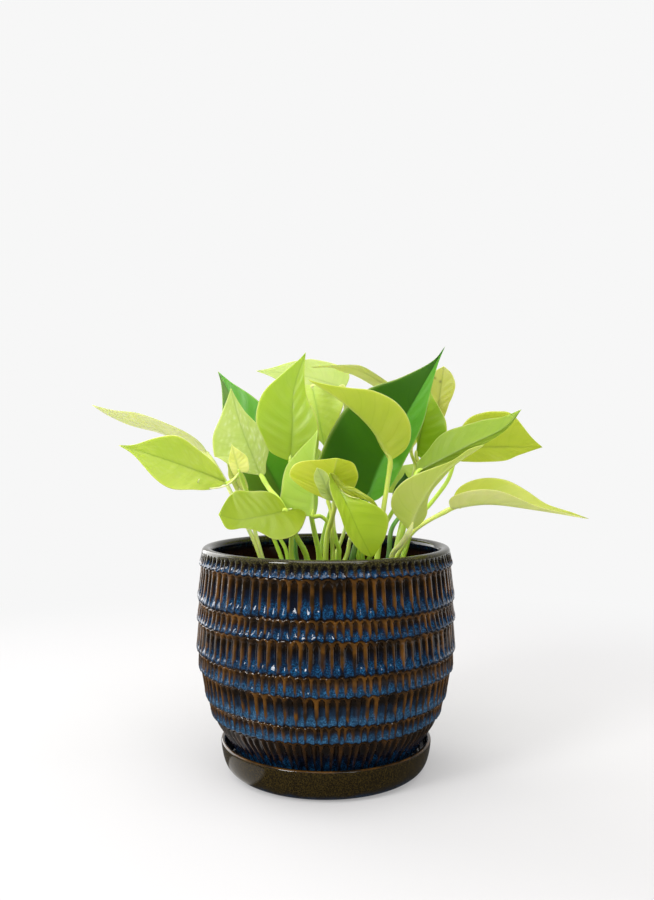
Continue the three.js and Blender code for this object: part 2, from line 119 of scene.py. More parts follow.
# Stalk colours at the soil and at the blade.
STALK_SHADES = {
    "neon_leaf": ("b2da38", "cdea5a"), "pale_leaf": ("cce560", "e8efa0"), "olive_leaf": ("b0d43a", "d2e062"),
    "yellow_leaf": ("c2de48", "dde878"), "green_leaf": ("2f6a10", "4f9420"),
}
TENDRIL_SHADES = ("e2ea94", "f0f2c0")

# Shares of a blade's length at which its half widths are given, and the half widths of a plain blade.
WIDTH_AT = [0, 0.1, 0.25, 0.4, 0.6, 0.75, 0.9, 1]
PLAIN_BLADE = [0, 0.48, 0.86, 1, 0.86, 0.55, 0.16, 0]
# Pairs of side veins, how far they slant forward to the margin and how much they bend on the way.
VEIN_PAIRS = 9
VEIN_SLANT = 0.09
VEIN_BEND = 1.6
MARGIN_WAVES = 2.3
# Rows of points along a blade, and points from its midrib to its margin.
BLADE_ROWS = 56
BLADE_HALF = 15

# What a leaf has where its entry below says nothing else.
PLAIN_LEAF = {
    "bow": 0, "fold": [12, 12], "lap": [0, 0], "curl": [0, 0], "twist": [0, 0], "lobe": [0.2, 0.2],
    "fade": [1, 1], "painted_sheen": 0, "spots": [],
}
# Each shoot: where its stem stands in the soil, its slot, which picks the colours of its stalks, its leaves,
# and tendrils as points.
# A leaf: tones is its upper and its lower face, each one tone or a left and a right one; a left and a right
# one paint its two halves lit and shaded differently, as painted light and shade. rib is the
# midrib from the stalk to the tip, and up the way the upper face looks. half holds the half widths left
# and right of the midrib, one for a plain blade or six from base to tip. bow arches the midrib, fold, lap
# and curl bend the left and the right half up all along, at the base and at the margin, and twist turns
# the blade at its base and at its tip, in degrees. lobe is how far each half reaches back past the stalk.
# fade is the brightness at the base and at the tip, painted shade; painted_sheen the strength of pale streaks
# of painted sheen; and spots the places of small brown marks, across (-1 to 1) and along (0 to 1). via is the
# stalk's route and stalk its
# half thickness. A leaf without them sits on another leaf.
SHOOTS = [
    dict(name="far_left", root=[-39, -4], slot="pale_leaf", leaves=[
        dict(tones=("lime", "cream"),
             rib=[[-84, 6, 217], [-117, 14, 232], [-146, 22, 242], [-172, 30, 252]], up=[0.3, 0.2, 0.95],
             half=[[14, 21, 22, 15, 9, 3], [11, 18, 18, 15, 12, 9]], fold=[0, 10], lap=[14, 0],
             twist=[0, -24], lobe=[0.06, 0.06],
             via=[[-46, -3, 146], [-51, -2, 158], [-60, 0, 176], [-72, 4, 199]], stalk=1.7),
        dict(tones=("sage", "cream"), rib=[[-60, 2, 190], [-70, 0, 213]], up=[0.2, -0.9, 0.2], half=[4, 7],
             fold=[20, 20], painted_sheen=0.4, via=[[-45, -3, 147], [-52, 0, 170]], stalk=1.5),
    ]),
    dict(name="left", root=[-25, -14], slot="neon_leaf", leaves=[
        dict(tones=("pear", "sage"), rib=[[-67, -22, 197], [-129, -65, 222]], up=[0.2, -0.8, 0.55],
             half=[[4, 11, 17, 21.5, 17.5, 4.5], [3.6, 10, 14.5, 18, 12.5, 3.2]], bow=2, fold=[4, 12],
             curl=[6, 10], lobe=[0.02, 0.02], painted_sheen=0.05,
             via=[[-31, -14, 147], [-40, -16, 168], [-53, -22, 190], [-57, -27, 203], [-62, -24, 199]],
             stalk=1.4),
        dict(tones=("butter", "butter"), rib=[[-57, -35, 204.5], [-62, -37, 223]], up=[0.05, -1, 0.1],
             half=[5, 8], fold=[10, 15],
             via=[[-26.5, -14, 147], [-31, -14.5, 158], [-40, -17, 172], [-53, -26, 192]], stalk=1.3),
    ], tendrils=[
        [[-57, -36.5, 204.3], [-60.5, -36, 199.5], [-66, -35.5, 195.6], [-73.9, -36, 193.8],
         [-80.3, -39, 194.7], [-83.1, -42, 198.2], [-82, -42.5, 200.4]],
    ]),
    dict(name="front_left", root=[-16, -35], slot="neon_leaf", leaves=[
        dict(tones=("pistachio", "sage"),
             rib=[[-44.5, -10, 201.5], [-50, -9, 214], [-59, -6, 236], [-66, -4, 262]],
             up=[-0.2, -0.9, 0.3], half=[[14, 21.5, 25, 21.5, 13, 5], [3, 6.5, 14.5, 11, 6, 2]],
             fold=[6, 6], lobe=[-0.15, 0.1], painted_sheen=0.3,
             via=[[-12.5, -33, 147], [-20.5, -35, 164], [-29, -34, 183], [-38, -24, 193]], stalk=1.8),
        dict(tones=("apple", "olive"),
             rib=[[-25.5, -45, 180], [-40, -55, 177], [-55, -63, 175.5], [-66.5, -68, 179]],
             up=[0.05, -0.8, 0.6], half=[[1, 10, 21, 12, 7.5, 9.5], [8, 15, 19, 21.5, 20.5, 17]],
             fold=[8, 4], lobe=[0.38, 0.1], via=[[-22, -42, 149], [-22.5, -43.5, 166]], stalk=1.7),
    ]),
    dict(name="mid_left", root=[-2, -19], slot="neon_leaf", leaves=[
        dict(tones=("bright", "olive"),
             rib=[[-24, -20, 211.5], [-23, -16, 233], [-22, -10, 260], [-14, -4, 287]],
             up=[0.1, -0.95, 0.3], half=[[13.5, 20, 25, 22, 12, 4], [12, 18, 18, 10.5, 6.5, 2.2]], bow=2,
             fold=[6, 14], lobe=[0, 0.1],
             via=[[-4.5, -14, 147], [-8.5, -13, 166], [-13, -13, 188], [-20, -17, 205]], stalk=1.7),
        dict(tones=("lime", "avocado"), rib=[[-8.5, -28, 175], [-8, -27, 210], [-5.5, -24, 233]],
             up=[0, 1, 0.1], half=[[3, 5, 5, 4, 3, 1], [21, 23, 21.5, 19, 12, 4]], fold=[60, 5],
             lobe=[0.1, 0.1],
             via=[[8.5, -19, 147], [7.1, -20, 157], [4.7, -22, 166], [0.2, -24.5, 172], [-3.8, -26.5, 175]],
             stalk=1.6),
    ]),
    dict(name="centre", root=[2, -38], slot="olive_leaf", leaves=[
        dict(tones=("lime", ("honeydew", "quince")), rib=[[1.3, -34, 186], [5, -50, 203], [7, -60, 214]],
             up=[0, 0.7, 0.7], half=[[6, 13, 16.5, 16.5, 14.5, 10], [16, 26, 27.5, 27.5, 23, 9]], bow=2,
             fold=[5, 6], lobe=[0, -0.12], via=[[4.3, -38, 147], [3.7, -37, 165], [3.1, -36, 178]],
             stalk=1.45),
        dict(tones=("moss", "sage"), rib=[[4, -52, 203], [13, -58, 184], [20, -60, 168], [29, -60, 151]],
             up=[0.1, -1, 0.1], half=[[1, 1.5, 6, 18.5, 20, 12], [4, 7, 9, 9.2, 7.5, 5]], bow=4,
             fold=[6, 20], lap=[30, 60], lobe=[-0.06, 0.1], fade=[0.85, 1.05],
             via=[[-0.3, -41, 147], [1, -42, 164], [3.5, -46, 174], [5.7, -51, 184], [5, -53, 193.5]],
             stalk=1.8),
        dict(tones=("citron", "olive"),
             rib=[[3.2, -55, 204], [10.7, -57, 195.5], [19, -59, 192.5], [26, -61, 189], [33, -60, 183]],
             up=[0, -1, 0.2], half=[[2, 2.8, 2.6, 2.2, 1.9, 1.3], [2, 4, 4.6, 3.4, 2, 1]], fold=[-25, -15],
             lobe=[0, 0]),
        dict(tones=("pistachio", "sage"), rib=[[4.4, -55, 187], [-5.6, -62, 208]], up=[0, -1, 0.2],
             half=[[2.5, 4.5, 5.4, 5.4, 5.2, 3.5], [1, 2, 3, 4, 4.2, 2.5]], fold=[6, 6], lobe=[0, 0]),
    ]),
    dict(name="upright", root=[31, -18], slot="olive_leaf", leaves=[
        dict(tones=("lime", "chartreuse"),
             rib=[[44, -12, 212], [31, -20, 233], [12, -32, 250], [-12, -42, 265]], up=[0.1, 0.95, 0.4],
             half=[[11, 20.5, 25, 19, 10, 3], [6, 12, 12, 10, 6, 2]], fold=[5, 75], lobe=[0.08, 0.08],
             via=[[35, -18, 148], [39, -16, 178], [42, -13, 196]], stalk=1.9),
    ]),
    dict(name="front_right", root=[43, -38], slot="pale_leaf", leaves=[
        dict(tones=("lime", "willow"),
             rib=[[54, -45, 167], [60, -50, 184], [73, -60, 204], [97, -75, 222.5]], up=[0, 0.95, 0.5],
             half=[[6, 10, 5, 3, 1.8, 1.2], [6.5, 17, 18, 7.5, 3.2, 3]], fold=[30, 5], lobe=[0.03, 0.03],
             via=[[42.5, -42, 149], [48.2, -44, 158]], stalk=1.9),
    ]),
    dict(name="low_right", root=[33, -29], slot="yellow_leaf", leaves=[
        dict(tones=("lemon", "celery"),
             rib=[[84, -22, 180], [108, -32, 183.5], [138, -42, 180], [168.5, -50, 175]], up=[0, -0.05, 1],
             half=[[14, 22, 22, 14.5, 6, 2.5], [13, 24, 27, 15, 6, 1.2]], fold=[45, 25], lobe=[0.05, 0.05],
             via=[[46.6, -28, 148], [59.8, -26, 166]], stalk=1.8),
    ]),
    dict(name="right", root=[48, -3], slot="neon_leaf", leaves=[
        dict(tones=("spring", "olive"),
             rib=[[61.5, -16, 203.5], [95, -28, 222], [116, -36, 233], [127.5, -40, 245.5]],
             up=[-0.3, -0.8, 0.6], half=[[7, 12, 18.5, 16.5, 13, 6], [3, 4.5, 5, 4, 3, 1.5]], fold=[0, -60],
             lobe=[0.05, 0.05], fade=[0.75, 1.1], via=[[49, -10, 147], [53, -15, 166], [58, -18, 186]],
             stalk=1.8),
        dict(tones=("citron", "olive"), rib=[[92.5, 10, 219], [118, 20, 221], [159, 30, 221]],
             up=[0.2, -0.9, 0.4], half=[[9, 14, 25, 28, 26, 8.5], [8, 10, 11, 11, 6.5, 2.5]], fold=[5, 0],
             lobe=[0.1, 0.1],
             via=[[55, 2, 147], [62.8, 2.5, 168], [75.6, 4, 183.5], [85.8, 6, 197], [90.3, 8, 209]],
             stalk=1.8),
    ]),
    dict(name="back_right", root=[45, 18], slot="yellow_leaf", leaves=[
        dict(tones=("maize", "maize"), rib=[[82, 45, 238], [90, 55, 283]], up=[0, -1, 0.1],
             half=[[5, 8, 9, 9.5, 8.5, 6], [2, 4, 7, 10, 10.3, 6.5]], bow=2, fold=[10, 10],
             spots=[[-0.75, 0.8], [-0.15, 0.8]],
             via=[[56, 26, 170], [64, 28, 200], [65.5, 31, 208], [63.5, 34, 222]], stalk=1.5),
        dict(tones=("fern_lime", "olive"), rib=[[66, 28, 215.5], [77.5, 40, 265]], up=[0, -1, 0.3],
             half=[[0.5, 2, 7, 11, 7.7, 2.2], 19], bow=2, fold=[10, 10], lobe=[0, 0.2],
             via=[[54, 20, 160], [68, 27, 198]], stalk=1.5),
    ]),
    dict(name="crown", root=[6, 24], slot="pale_leaf", leaves=[
        dict(tones=("pistachio", "sage"), rib=[[14, 44, 265.5], [-18, 34, 274], [-51, 24, 276.5]],
             up=[-0.1, -0.7, 0.7], half=[[5, 9, 14, 15, 12.5, 4.5], [13, 24, 26, 16, 9.5, 3.5]],
             fold=[5, 0],
             via=[[9.5, 26, 142], [7.7, 28, 153], [5.9, 30, 162], [5.5, 33, 175], [8, 38, 200],
                  [14, 44, 240]], stalk=1.6),
        dict(tones=("sorrel", "sage"), rib=[[-10, 17, 265], [-1, 13, 221]], up=[0, -1, 0.1],
             half=[[11, 18.5, 21, 16, 9.3, 3], 18], bow=2, fold=[10, 10], lobe=[0, 0.2], painted_sheen=0.1,
             via=[[6.9, 24, 141], [10.9, 24.5, 153], [13.8, 25, 162], [18, 26, 180], [16, 27, 200],
                  [9, 26, 244], [-2, 21, 263]], stalk=1.4),
        dict(tones=("lime", "linen"), rib=[[49.5, 38, 264.5], [20, 20, 278], [-11, 0, 277]],
             up=[0.1, 0.15, 1], half=[[4, 6, 8, 8, 10, 5], 15], fold=[0, 0],
             via=[[14.6, 25, 141], [17, 25.5, 152], [21, 27, 166], [27, 30, 200], [40, 36, 240]],
             stalk=1.6),
    ]),
    dict(name="green_left", root=[-18, 8], slot="green_leaf", leaves=[
        dict(tones=(("fern", "emerald"), "green"), rib=[[-29.5, 18, 183], [-81, 42, 278]], up=[0, -1, 0.3],
             half=[[12.5, 22.4, 26, 22.4, 11.7, 3.2], [10, 18, 21, 20, 14.5, 5]], bow=3, fold=[8, 8],
             via=[[-21.7, 10, 146], [-22.2, 13, 165]], stalk=1.9),
    ]),
    dict(name="green_centre", root=[14, 5], slot="green_leaf", leaves=[
        dict(tones=(("green", "emerald"), "green"),
             rib=[[28, 4, 182.5], [40, 6, 212], [64, 10, 256], [85.5, 16, 293.5]], up=[0.1, -0.97, 0.1],
             half=[[22, 38, 42, 34.5, 17, 3], [8, 13.5, 14.5, 13, 7.5, 2]], fold=[2, 14], lobe=[0.2, 0.03],
             via=[[19, 4, 145], [24, 4, 165]], stalk=2.1),
    ]),
    dict(name="green_right", root=[40, -8], slot="green_leaf", leaves=[
        dict(tones=("green", "green"), rib=[[56, 14, 177], [57, 20, 203]], up=[0, -1, 0.1], half=[9, 9],
             bow=2, fold=[8, 8], via=[[43.7, -4, 147], [44.8, -2, 160], [47.5, 0, 167], [53.5, 8, 173.5]],
             stalk=1.7),
    ]),
    dict(name="rear_left", root=[-8, 39], slot="neon_leaf", leaves=[
        dict(tones=("lime", "olive"), rib=[[-21, 60, 202], [-37, 122, 224]], up=[0, 0, 1], half=[24, 24],
             bow=4, via=[[-5.6, 42, 140], [-9.9, 45, 161], [-14.9, 52, 185]], stalk=1.7),
        dict(tones=("lime", "olive"), rib=[[10, 66, 190], [16, 130, 176]], up=[0, 0.3, 1], half=[23, 23],
             bow=6, fold=[10, 10], via=[[0, 50, 162]], stalk=1.7),
        dict(tones=("lime", "olive"), rib=[[-42, 50, 180], [-77, 86, 208]], up=[-0.2, 0, 1], half=[20, 20],
             bow=3, via=[[-24, 41, 158]], stalk=1.7),
    ]),
    dict(name="rear_right", root=[27, 41], slot="neon_leaf", leaves=[
        dict(tones=("lime", "olive"), rib=[[32, 62, 205], [40, 122, 228]], up=[0, 0, 1], half=[24, 24],
             bow=4, via=[[28, 48, 165]], stalk=1.7),
        dict(tones=("lime", "olive"), rib=[[12, 56, 226], [-2, 118, 244]], up=[0, 0.1, 1], half=[22, 22],
             bow=4, fold=[10, 10], via=[[18, 48, 175]], stalk=1.7),
        dict(tones=("lime", "olive"), rib=[[58, 50, 186], [90, 98, 208]], up=[0.2, 0, 1], half=[20, 20],
             bow=4, fold=[10, 10], via=[[40, 42, 155]], stalk=1.7),
    ]),
]


def linear(code):
    """Linear colour, opaque, of an sRGB hex value."""
    part = np.array([int(code[i:i + 2], 16) for i in (0, 2, 4)]) / 255
    part = np.where(part <= 0.04045, part / 12.92, ((part + 0.055) / 1.055) ** 2.4)
    return (*part.tolist(), 1.0)


def smooth(low, high, x):
    """0 below low, 1 above high and an S between them."""
    t = np.clip((x - low) / (high - low), 0, 1)
    return t * t * (3 - 2 * t)


def bell(x, middle, spread):
    """A bell curve that is 1 at its middle and falls to 1/e one spread away."""
    return np.exp(-((x - middle) / spread) ** 2)


def lumps(points, size, seed, waves=14):
    """Smooth noise from about -1 to 1: a sum of waves about size long in seeded directions."""
    rng = np.random.default_rng(seed)
    heading = rng.normal(size=(waves, points.shape[-1]))
    heading *= (rng.uniform(0.6, 1.6, waves) / np.linalg.norm(heading, axis=1))[:, None]
    phase = rng.uniform(0, 6.28, waves)
    return np.cos(points @ heading.T * (TURN / size) + phase).sum(-1) / np.sqrt(waves)


def round_lumps(angle, size, seed):
    """The same noise round a circle of radius 1, so that it has no seam."""
    return lumps(np.stack([np.cos(angle), np.sin(angle)], -1), size, seed)


def flow(points, count):
    """Catmull-Rom curve through the points, as count points evenly spread over its spans."""
    p = np.array(points, float)
    p = np.vstack([2 * p[0] - p[1], p, 2 * p[-1] - p[-2]])
    at = np.linspace(0, len(p) - 3, count)
    i = np.minimum(at.astype(int), len(p) - 4)
    t = (at - i)[:, None]
    a, b, c, d = p[i], p[i + 1], p[i + 2], p[i + 3]
    bend = (2 * a - 5 * b + 4 * c - d) * t ** 2 + (3 * b - a - 3 * c + d) * t ** 3
    return 0.5 * (2 * b + (c - a) * t + bend)


def unit(v):
    """Vectors at length one."""
    return v / np.linalg.norm(v, axis=-1, keepdims=True)


def full_turn(columns):
    """Angles of the columns round one turn."""
    return np.linspace(0, TURN, columns, endpoint=False)


def ring_points(radius, height, angle):
    """Points at a radius and a height, turned round Z from the front of the object to its right side."""
    return np.stack(np.broadcast_arrays(radius * np.sin(angle), -radius * np.cos(angle), height), -1)


def band_faces(rows, columns, joined=False):
    """Triangles between the rings of a grid, two a cell.

    Row i, column j is vertex i * columns + j. The last column always joins the first, and the last row
    does so where it is joined.
    """
    r, c = np.meshgrid(np.arange(rows if joined else rows - 1), np.arange(columns), indexing="ij")
    a, b = r * columns + c, r * columns + (c + 1) % columns
    up = ((r + 1) % rows - r) * columns
    return np.concatenate([np.stack([a, b, b + up], -1), np.stack([a, b + up, a + up], -1)]).reshape(-1, 3)


def outward(points, faces):
    """Points and faces, all turned over together if the volume comes out negative."""
    corner = points[faces]
    volume = np.einsum("ij,ij->i", corner[:, 0], np.cross(corner[:, 1], corner[:, 2])).sum()
    return points, faces[:, ::-1] if volume < 0 else faces


def capped(grid, first, last):
    """Values at the points of a grid, row after row, and then at its two poles."""
    return np.vstack([grid.reshape(-1, grid.shape[-1]), first, last])


def closed_skin(rings, first, last):
    """Closed skin of a grid whose rows are rings. A fan joins the first and the last row to its pole."""
    rows, columns = rings.shape[:2]
    here = np.arange(columns)
    beside, end = (here + 1) % columns, (rows - 1) * columns
    pole = np.full(columns, rows * columns)
    fans = [np.stack([pole, beside, here], -1), np.stack([pole + 1, end + here, end + beside], -1)]
    return outward(capped(rings, first, last), np.vstack([band_faces(rows, columns), *fans]))


def turned(profile, columns, wander=0):
    """Closed skin of a profile of [radius, height] turned round Z. wander adds to each point's radius."""
    radius = profile[:, :1] + wander * np.ones(columns)
    rings = ring_points(radius, profile[:, 1:], full_turn(columns))
    return closed_skin(rings, [0, 0, profile[0, 1]], [0, 0, profile[-1, 1]])


def fused(skins):
    """One skin made of several, with all their layers."""
    starts = np.cumsum([0] + [len(skin["points"]) for skin in skins])
    whole = {key: np.vstack([skin[key] for skin in skins]) for key in skins[0] if key != "faces"}
    whole["faces"] = np.vstack([skin["faces"] + start for skin, start in zip(skins, starts)])
    return whole


def put_piece(name, skin, material, node):
    """Makes a mesh object at the origin from a skin in millimetres, and lets it stand for a CAD node.

    A skin has "points" and "faces" and may have a "uv" map. All else in it is a colour layer.
    """
    mesh = bpy.data.meshes.new(name)
    mesh.from_pydata((skin["points"] * MM).tolist(), [], skin["faces"].tolist())
    mesh.polygons.foreach_set("use_smooth", np.ones(len(mesh.polygons), bool))
    for layer in [key for key in skin if key not in ("points", "faces", "uv")]:
        colours = np.ones((len(mesh.vertices), 4), "f")
        colours[:, :skin[layer].shape[1]] = skin[layer]
        mesh.attributes.new(layer, "FLOAT_COLOR", "POINT").data.foreach_set("color", colours.ravel())
    if "uv" in skin:
        corner = np.empty(len(mesh.loops), "i")
        mesh.loops.foreach_get("vertex_index", corner)
        mesh.uv_layers.new(name="UVMap").data.foreach_set("uv", skin["uv"][corner].astype("f").ravel())
    mesh.materials.append(material)
    mesh.update()
    piece = bpy.data.objects.new(name, mesh)
    bpy.context.scene.collection.objects.link(piece)
    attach(piece, "root")
    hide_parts(node)


def add_node(tree, kind, inputs=None, out=0, **settings):
    """Adds a node with its settings, puts a value or a link into each input, and gives one of its outputs."""
    node = tree.nodes.new("ShaderNode" + kind)
    for key, value in settings.items():
        setattr(node, key, value)
    for key, value in (inputs or {}).items():
        if isinstance(value, bpy.types.NodeSocket):
            tree.links.new(value, node.inputs[key])
        else:
            node.inputs[key].default_value = value
    return node.outputs[out] if len(node.outputs) else node


# What makes a Mix node mix colours. Its share is input 0, its colours are inputs 6 and 7.
COLOURS = {"out": 2, "data_type": "RGBA"}


def new_material(name):
    """A material with an empty node tree, and add_node for that tree."""
    material = bpy.data.materials.new(name)
    material.use_nodes = True
    material.node_tree.nodes.clear()
    return material, partial(add_node, material.node_tree)


def glaze_material(name, look):
    """High-fired reactive glaze on stoneware.

    The glaze runs thin over ribs and edges, where it breaks to brown, and pools in the hollows, where it
    is thick, blue and full of tiny crystals. The eye sees wet-looking gloss over both. The attribute
    "glaze" holds how much a place is rib, pool and rim, and its alpha falls to 0 on red-brown clay.
    """
    material, add = new_material(name)
    place = add("TexCoord", out="Object")
    marks = add("Attribute", out="Color", attribute_name="glaze")
    rib, pool, rim = add("SeparateColor", {0: marks}).node.outputs
    # Crystals just under 1 mm across, and runs of glaze some 3 mm wide and four times as tall.
    crystal = add("TexNoise", {0: place, "Scale": 1100, "Detail": 3, "Roughness": 0.65})
    speck = add("MapRange", {0: crystal, 1: 0.44, 2: 0.67, 3: 0.02, 4: 1.0})
    tall = add("Mapping", {0: place, "Scale": (1, 1, 0.25)})
    run = add("TexNoise", {0: tall, "Scale": 330, "Detail": 2})
    streak = add("MapRange", {0: run, 1: 0.35, 2: 0.7})
    thick = add("Mix", {0: streak, 2: 0.5, 3: 1.25})
    pooled = add("Math", {0: pool, 1: thick}, operation="MULTIPLY", use_clamp=True)
    # A thin pool is only darker than the bare clay. The crystals show where it is thick.
    film = add("MapRange", {0: pooled, 1: 0.05, 2: 0.5})
    depth = add("MapRange", {0: pooled, 1: 0.3, 2: 0.9})
    bloom = add("Math", {0: depth, 1: speck}, operation="MULTIPLY")
    # Below the belly the pools turn paler and greyer: more and more from 86 to 60 mm, none under 36.
    height = add("SeparateXYZ", {0: place}, 2)
    under = add("MapRange", {0: height, 1: 0.086, 2: 0.06})
    foot = add("MapRange", {0: height, 1: 0.036, 2: 0.041, 4: look.milk})
    milky = add("Math", {0: under, 1: foot}, operation="MULTIPLY")
    deep = add("Mix", {0: milky, 6: look.pool_dark, 7: look.milk_dark}, **COLOURS)
    light = add("Mix", {0: milky, 6: look.pool_light, 7: look.milk_light}, **COLOURS)
    # Over a rib the glaze is thin, and lighter in patches of 11 mm.
    cloud = add("TexNoise", {0: place, "Scale": 90, "Detail": 2})
    warm = add("MapRange", {0: cloud, 1: 0.35, 2: 0.65})
    thin = add("Mix", {0: warm, 6: look.rib_dark, 7: look.rib_light}, **COLOURS)
    # In patches of some 15 mm the glaze ran thicker and covers the ribs too.
    bare = add("TexNoise", {0: place, "Scale": 65, "Detail": 2})
    bare = add("MapRange", {0: bare, 1: 0.36, 2: 0.46, 3: 0.35, 4: 1.0})
    bare = add("Math", {0: rib, 1: bare}, operation="MULTIPLY")
    mottle = add("Mix", {0: speck, 6: look.rim_dark, 7: look.rim_light}, **COLOURS)
    colour = add("Mix", {0: film, 6: look.recess, 7: deep}, **COLOURS)
    for share, layer in ((bloom, light), (bare, thin), (rim, mottle)):
        colour = add("Mix", {0: share, 6: colour, 7: layer}, **COLOURS)
    colour = add("Mix", {0: marks.node.outputs["Alpha"], 6: look.clay, 7: colour}, **COLOURS)
    # The fired surface is very slightly uneven, like orange peel 2 mm across.
    peel = add("TexNoise", {0: place, "Scale": 420, "Detail": 1})
    skin = add("Bump", {"Strength": 0.25, "Distance": 0.0003, "Height": peel})
    surface = add("BsdfPrincipled", {
        "Base Color": colour, "Roughness": look.gloss, "IOR": 1.45, "Normal": skin,
    })
    add("OutputMaterial", {0: surface})
    return material


def cut_flutes(angle, count, rng):
    """Uneven flutes round one tier.

    Gives for each angle how far it is from the middle of its flute (0) to the ribs beside it (1), and
    four numbers of the flute, each about 0 on average and 1 in spread, that make no two flutes alike.
    """
    stray = rng.uniform(-0.17, 0.17, count)
    edges = (np.arange(count + 1) + np.r_[stray, 0]) / count
    edges[-1] = edges[0] + 1
    spin = rng.uniform(0, 1)
    at = np.interp((angle / TURN + spin - edges[0]) % 1 + edges[0], edges, np.arange(count + 1))
    index = np.minimum(at.astype(int), count - 1)
    return np.abs(2 * (at - index) - 1), rng.normal(size=(4, count))[:, index]


def tier_edges(angle, flutes, look):
    """Heights of the edges between the tiers: a row of arches, each over a flute of the tier below it.

    Under the rim band and on the foot the edge is level.
    """
    edges = [np.full(POT_COLUMNS, height, float) for height in TIER_LINES]
    for i, (c, odd) in enumerate(flutes[1:], 1):
        edges[i] += look.scallop / MM * (0.55 - c ** 2) + 0.22 * odd[0] * (1 - c ** 2)
        edges[i] += 0.4 * round_lumps(angle, 1.1, SEED + i)
    return edges


def tier_relief(i, v, down, z, c, odd, look):
    """Radius of the points of tier i, and the share of its full depth to which the flute is cut there.

    v runs from the upper edge of the tier (0) to the lower one (1), down is that in millimetres, and c
    runs from the middle of a flute (0) to the ribs beside it (1). The scoop is 1 - (c / w)^2 deep. Its
    half width w opens as a round arch below the ridge and goes on widening, and its depth fades out
    above the smooth bead in which the glaze collects. The tier flares towards the bead and steps back in
    at the next ridge, which has a lip under a fine crease.
    """
    kind = TALL_TIER if i % 2 else SHORT_TIER
    body = np.array(POT_BODY)
    r = np.interp(z, body[:, 0], body[:, 1])
    if i < LAST_TIER:
        r = r + look.flare / MM * v ** 1.3 * (1 - smooth(0.93, 1.0, v))
    ridge = 0.9 if i else 0.4
    arch = np.clip((down - ridge - 0.25 * odd[1]) / kind["arch"], 0, 1) ** 0.5
    width = np.maximum(arch * (0.69 + 0.31 * smooth(0.6, 0.88, v) + 0.06 * odd[2]), 1e-3)
    scoop = np.clip(1 - (c / width) ** 2, 0, 1) ** 0.7
    deep = look.flute_depth / MM * kind["depth"] * (1 + 0.12 * odd[3])
    r = r - deep * scoop * (1 - 0.86 * smooth(0.64, 0.97, v)) - STEP_IN * smooth(0.94, 1.0, v)
    if i:
        r = r + LIP * bell(down, 0.55, 0.5) - CREASE * bell(down, 0, 0.25)
    return r + BEAD * bell(v, 0.84, 0.1) * (1 - 0.6 * c ** 4), scoop


def tier_glaze(i, v, down, z, c, odd, scoop):
    """How much each point of tier i is rib, pool and rim, all of it glazed.

    Rib is what stands between the scoops, the lip and the step, and less of it towards the foot. The pool
    fills a flute from thin to full on its way down and keeps off the ribs and the lower edge. Of the top
    tier, all that isn't scooped out is rim.
    """
    kind = TALL_TIER if i % 2 else SHORT_TIER
    ribs = (1 - smooth(0.02, 0.36, scoop)) * (1 - smooth(0.76, 0.92, v + 0.05 * odd[0]))
    ribs = np.maximum(ribs, 0.8 * smooth(0.97, 1.0, v))
    rim = 0 * v
    if i:
        ribs = np.maximum(ribs, 1 - smooth(0.5, 1.3, down))
        ribs = np.maximum(ribs, kind["crest"] * (1 - smooth(*kind["crest_end"], v)))
    else:
        rim = (1 - smooth(0.5, 0.75, v)) * (1 - smooth(0.1, 0.5, scoop)) * (1 - 0.3 * smooth(0.05, 0.3, v))
    ribs = ribs * (0.2 + 0.8 * smooth(28, 60, z))
    pool = kind["film"] * smooth(*kind["thin"], v)
    pool = pool + (1 - kind["film"]) * smooth(*kind["full"], v + 0.06 * odd[1])
    apart = np.clip(0.7 + 0.2 * odd[2], 0.4, 1)
    pool = pool * (1 - apart * smooth(0.62, 0.95, c)) * (1 - 0.75 * smooth(0.9, 0.98, v + 0.06 * c ** 2))
    return np.stack(np.broadcast_arrays(ribs * (1 - rim), pool, rim, 1.0), -1)


def make_pot(context):
    """Fluted pot in one closed skin of rings: the rim and the inside, eight tiers, and the foot.

    Down a tier the rings stand closer together at both edges, as s - 0.7 sin(2 pi s) / 2 pi.
    """
    look = context.scene.pothos_pot
    rng = np.random.default_rng(SEED)
    angle = full_turn(POT_COLUMNS)
    counts = [look.short_flutes, look.tall_flutes] * 4
    flutes = [cut_flutes(angle, count, rng) for count in counts]
    edges = tier_edges(angle, flutes, look)
    r, z = np.array(POT_RIM[::-1]).T[..., None] * np.ones(POT_COLUMNS)
    lip = smooth(146.5, 149.5, z) * smooth(78.35, 79.2, r)
    film = 0.4 * smooth(143.8, 146.2, z) * (1 - lip)
    rings, marks = [ring_points(r, z, angle)], [np.stack([0 * z, film, lip, smooth(141.5, 144.5, z)], -1)]
    for i, (c, odd) in enumerate(flutes):
        steps = (TALL_TIER if i % 2 else SHORT_TIER)["steps"]
        s = np.arange(steps) / steps
        v = (s - 0.7 * np.sin(TURN * s) / TURN)[:, None]
        down = v * (TIER_LINES[i] - TIER_LINES[i + 1])
        z = edges[i] + (edges[i + 1] - edges[i]) * v
        r, scoop = tier_relief(i, v, down, z, c, odd, look)
        rings.append(ring_points(r, z, angle))
        marks.append(tier_glaze(i, v, down, z, c, odd, scoop))
    r, z = np.array(POT_FOOT[::-1]).T[..., None]
    rings.append(ring_points(r, z, angle))
    marks.append(np.tile([0.0, 0.0, 0.0, 1.0], (len(z), POT_COLUMNS, 1)))
    rings = np.concatenate(rings)
    points, faces = outward(rings.reshape(-1, 3), band_faces(*rings.shape[:2], joined=True))
    skin = {"points": points, "faces": faces, "glaze": np.concatenate(marks).reshape(-1, 4)}
    material = glaze_material("reactive glaze on thrown stoneware", look)
    put_piece("pot_fluted", skin, material, "pot")


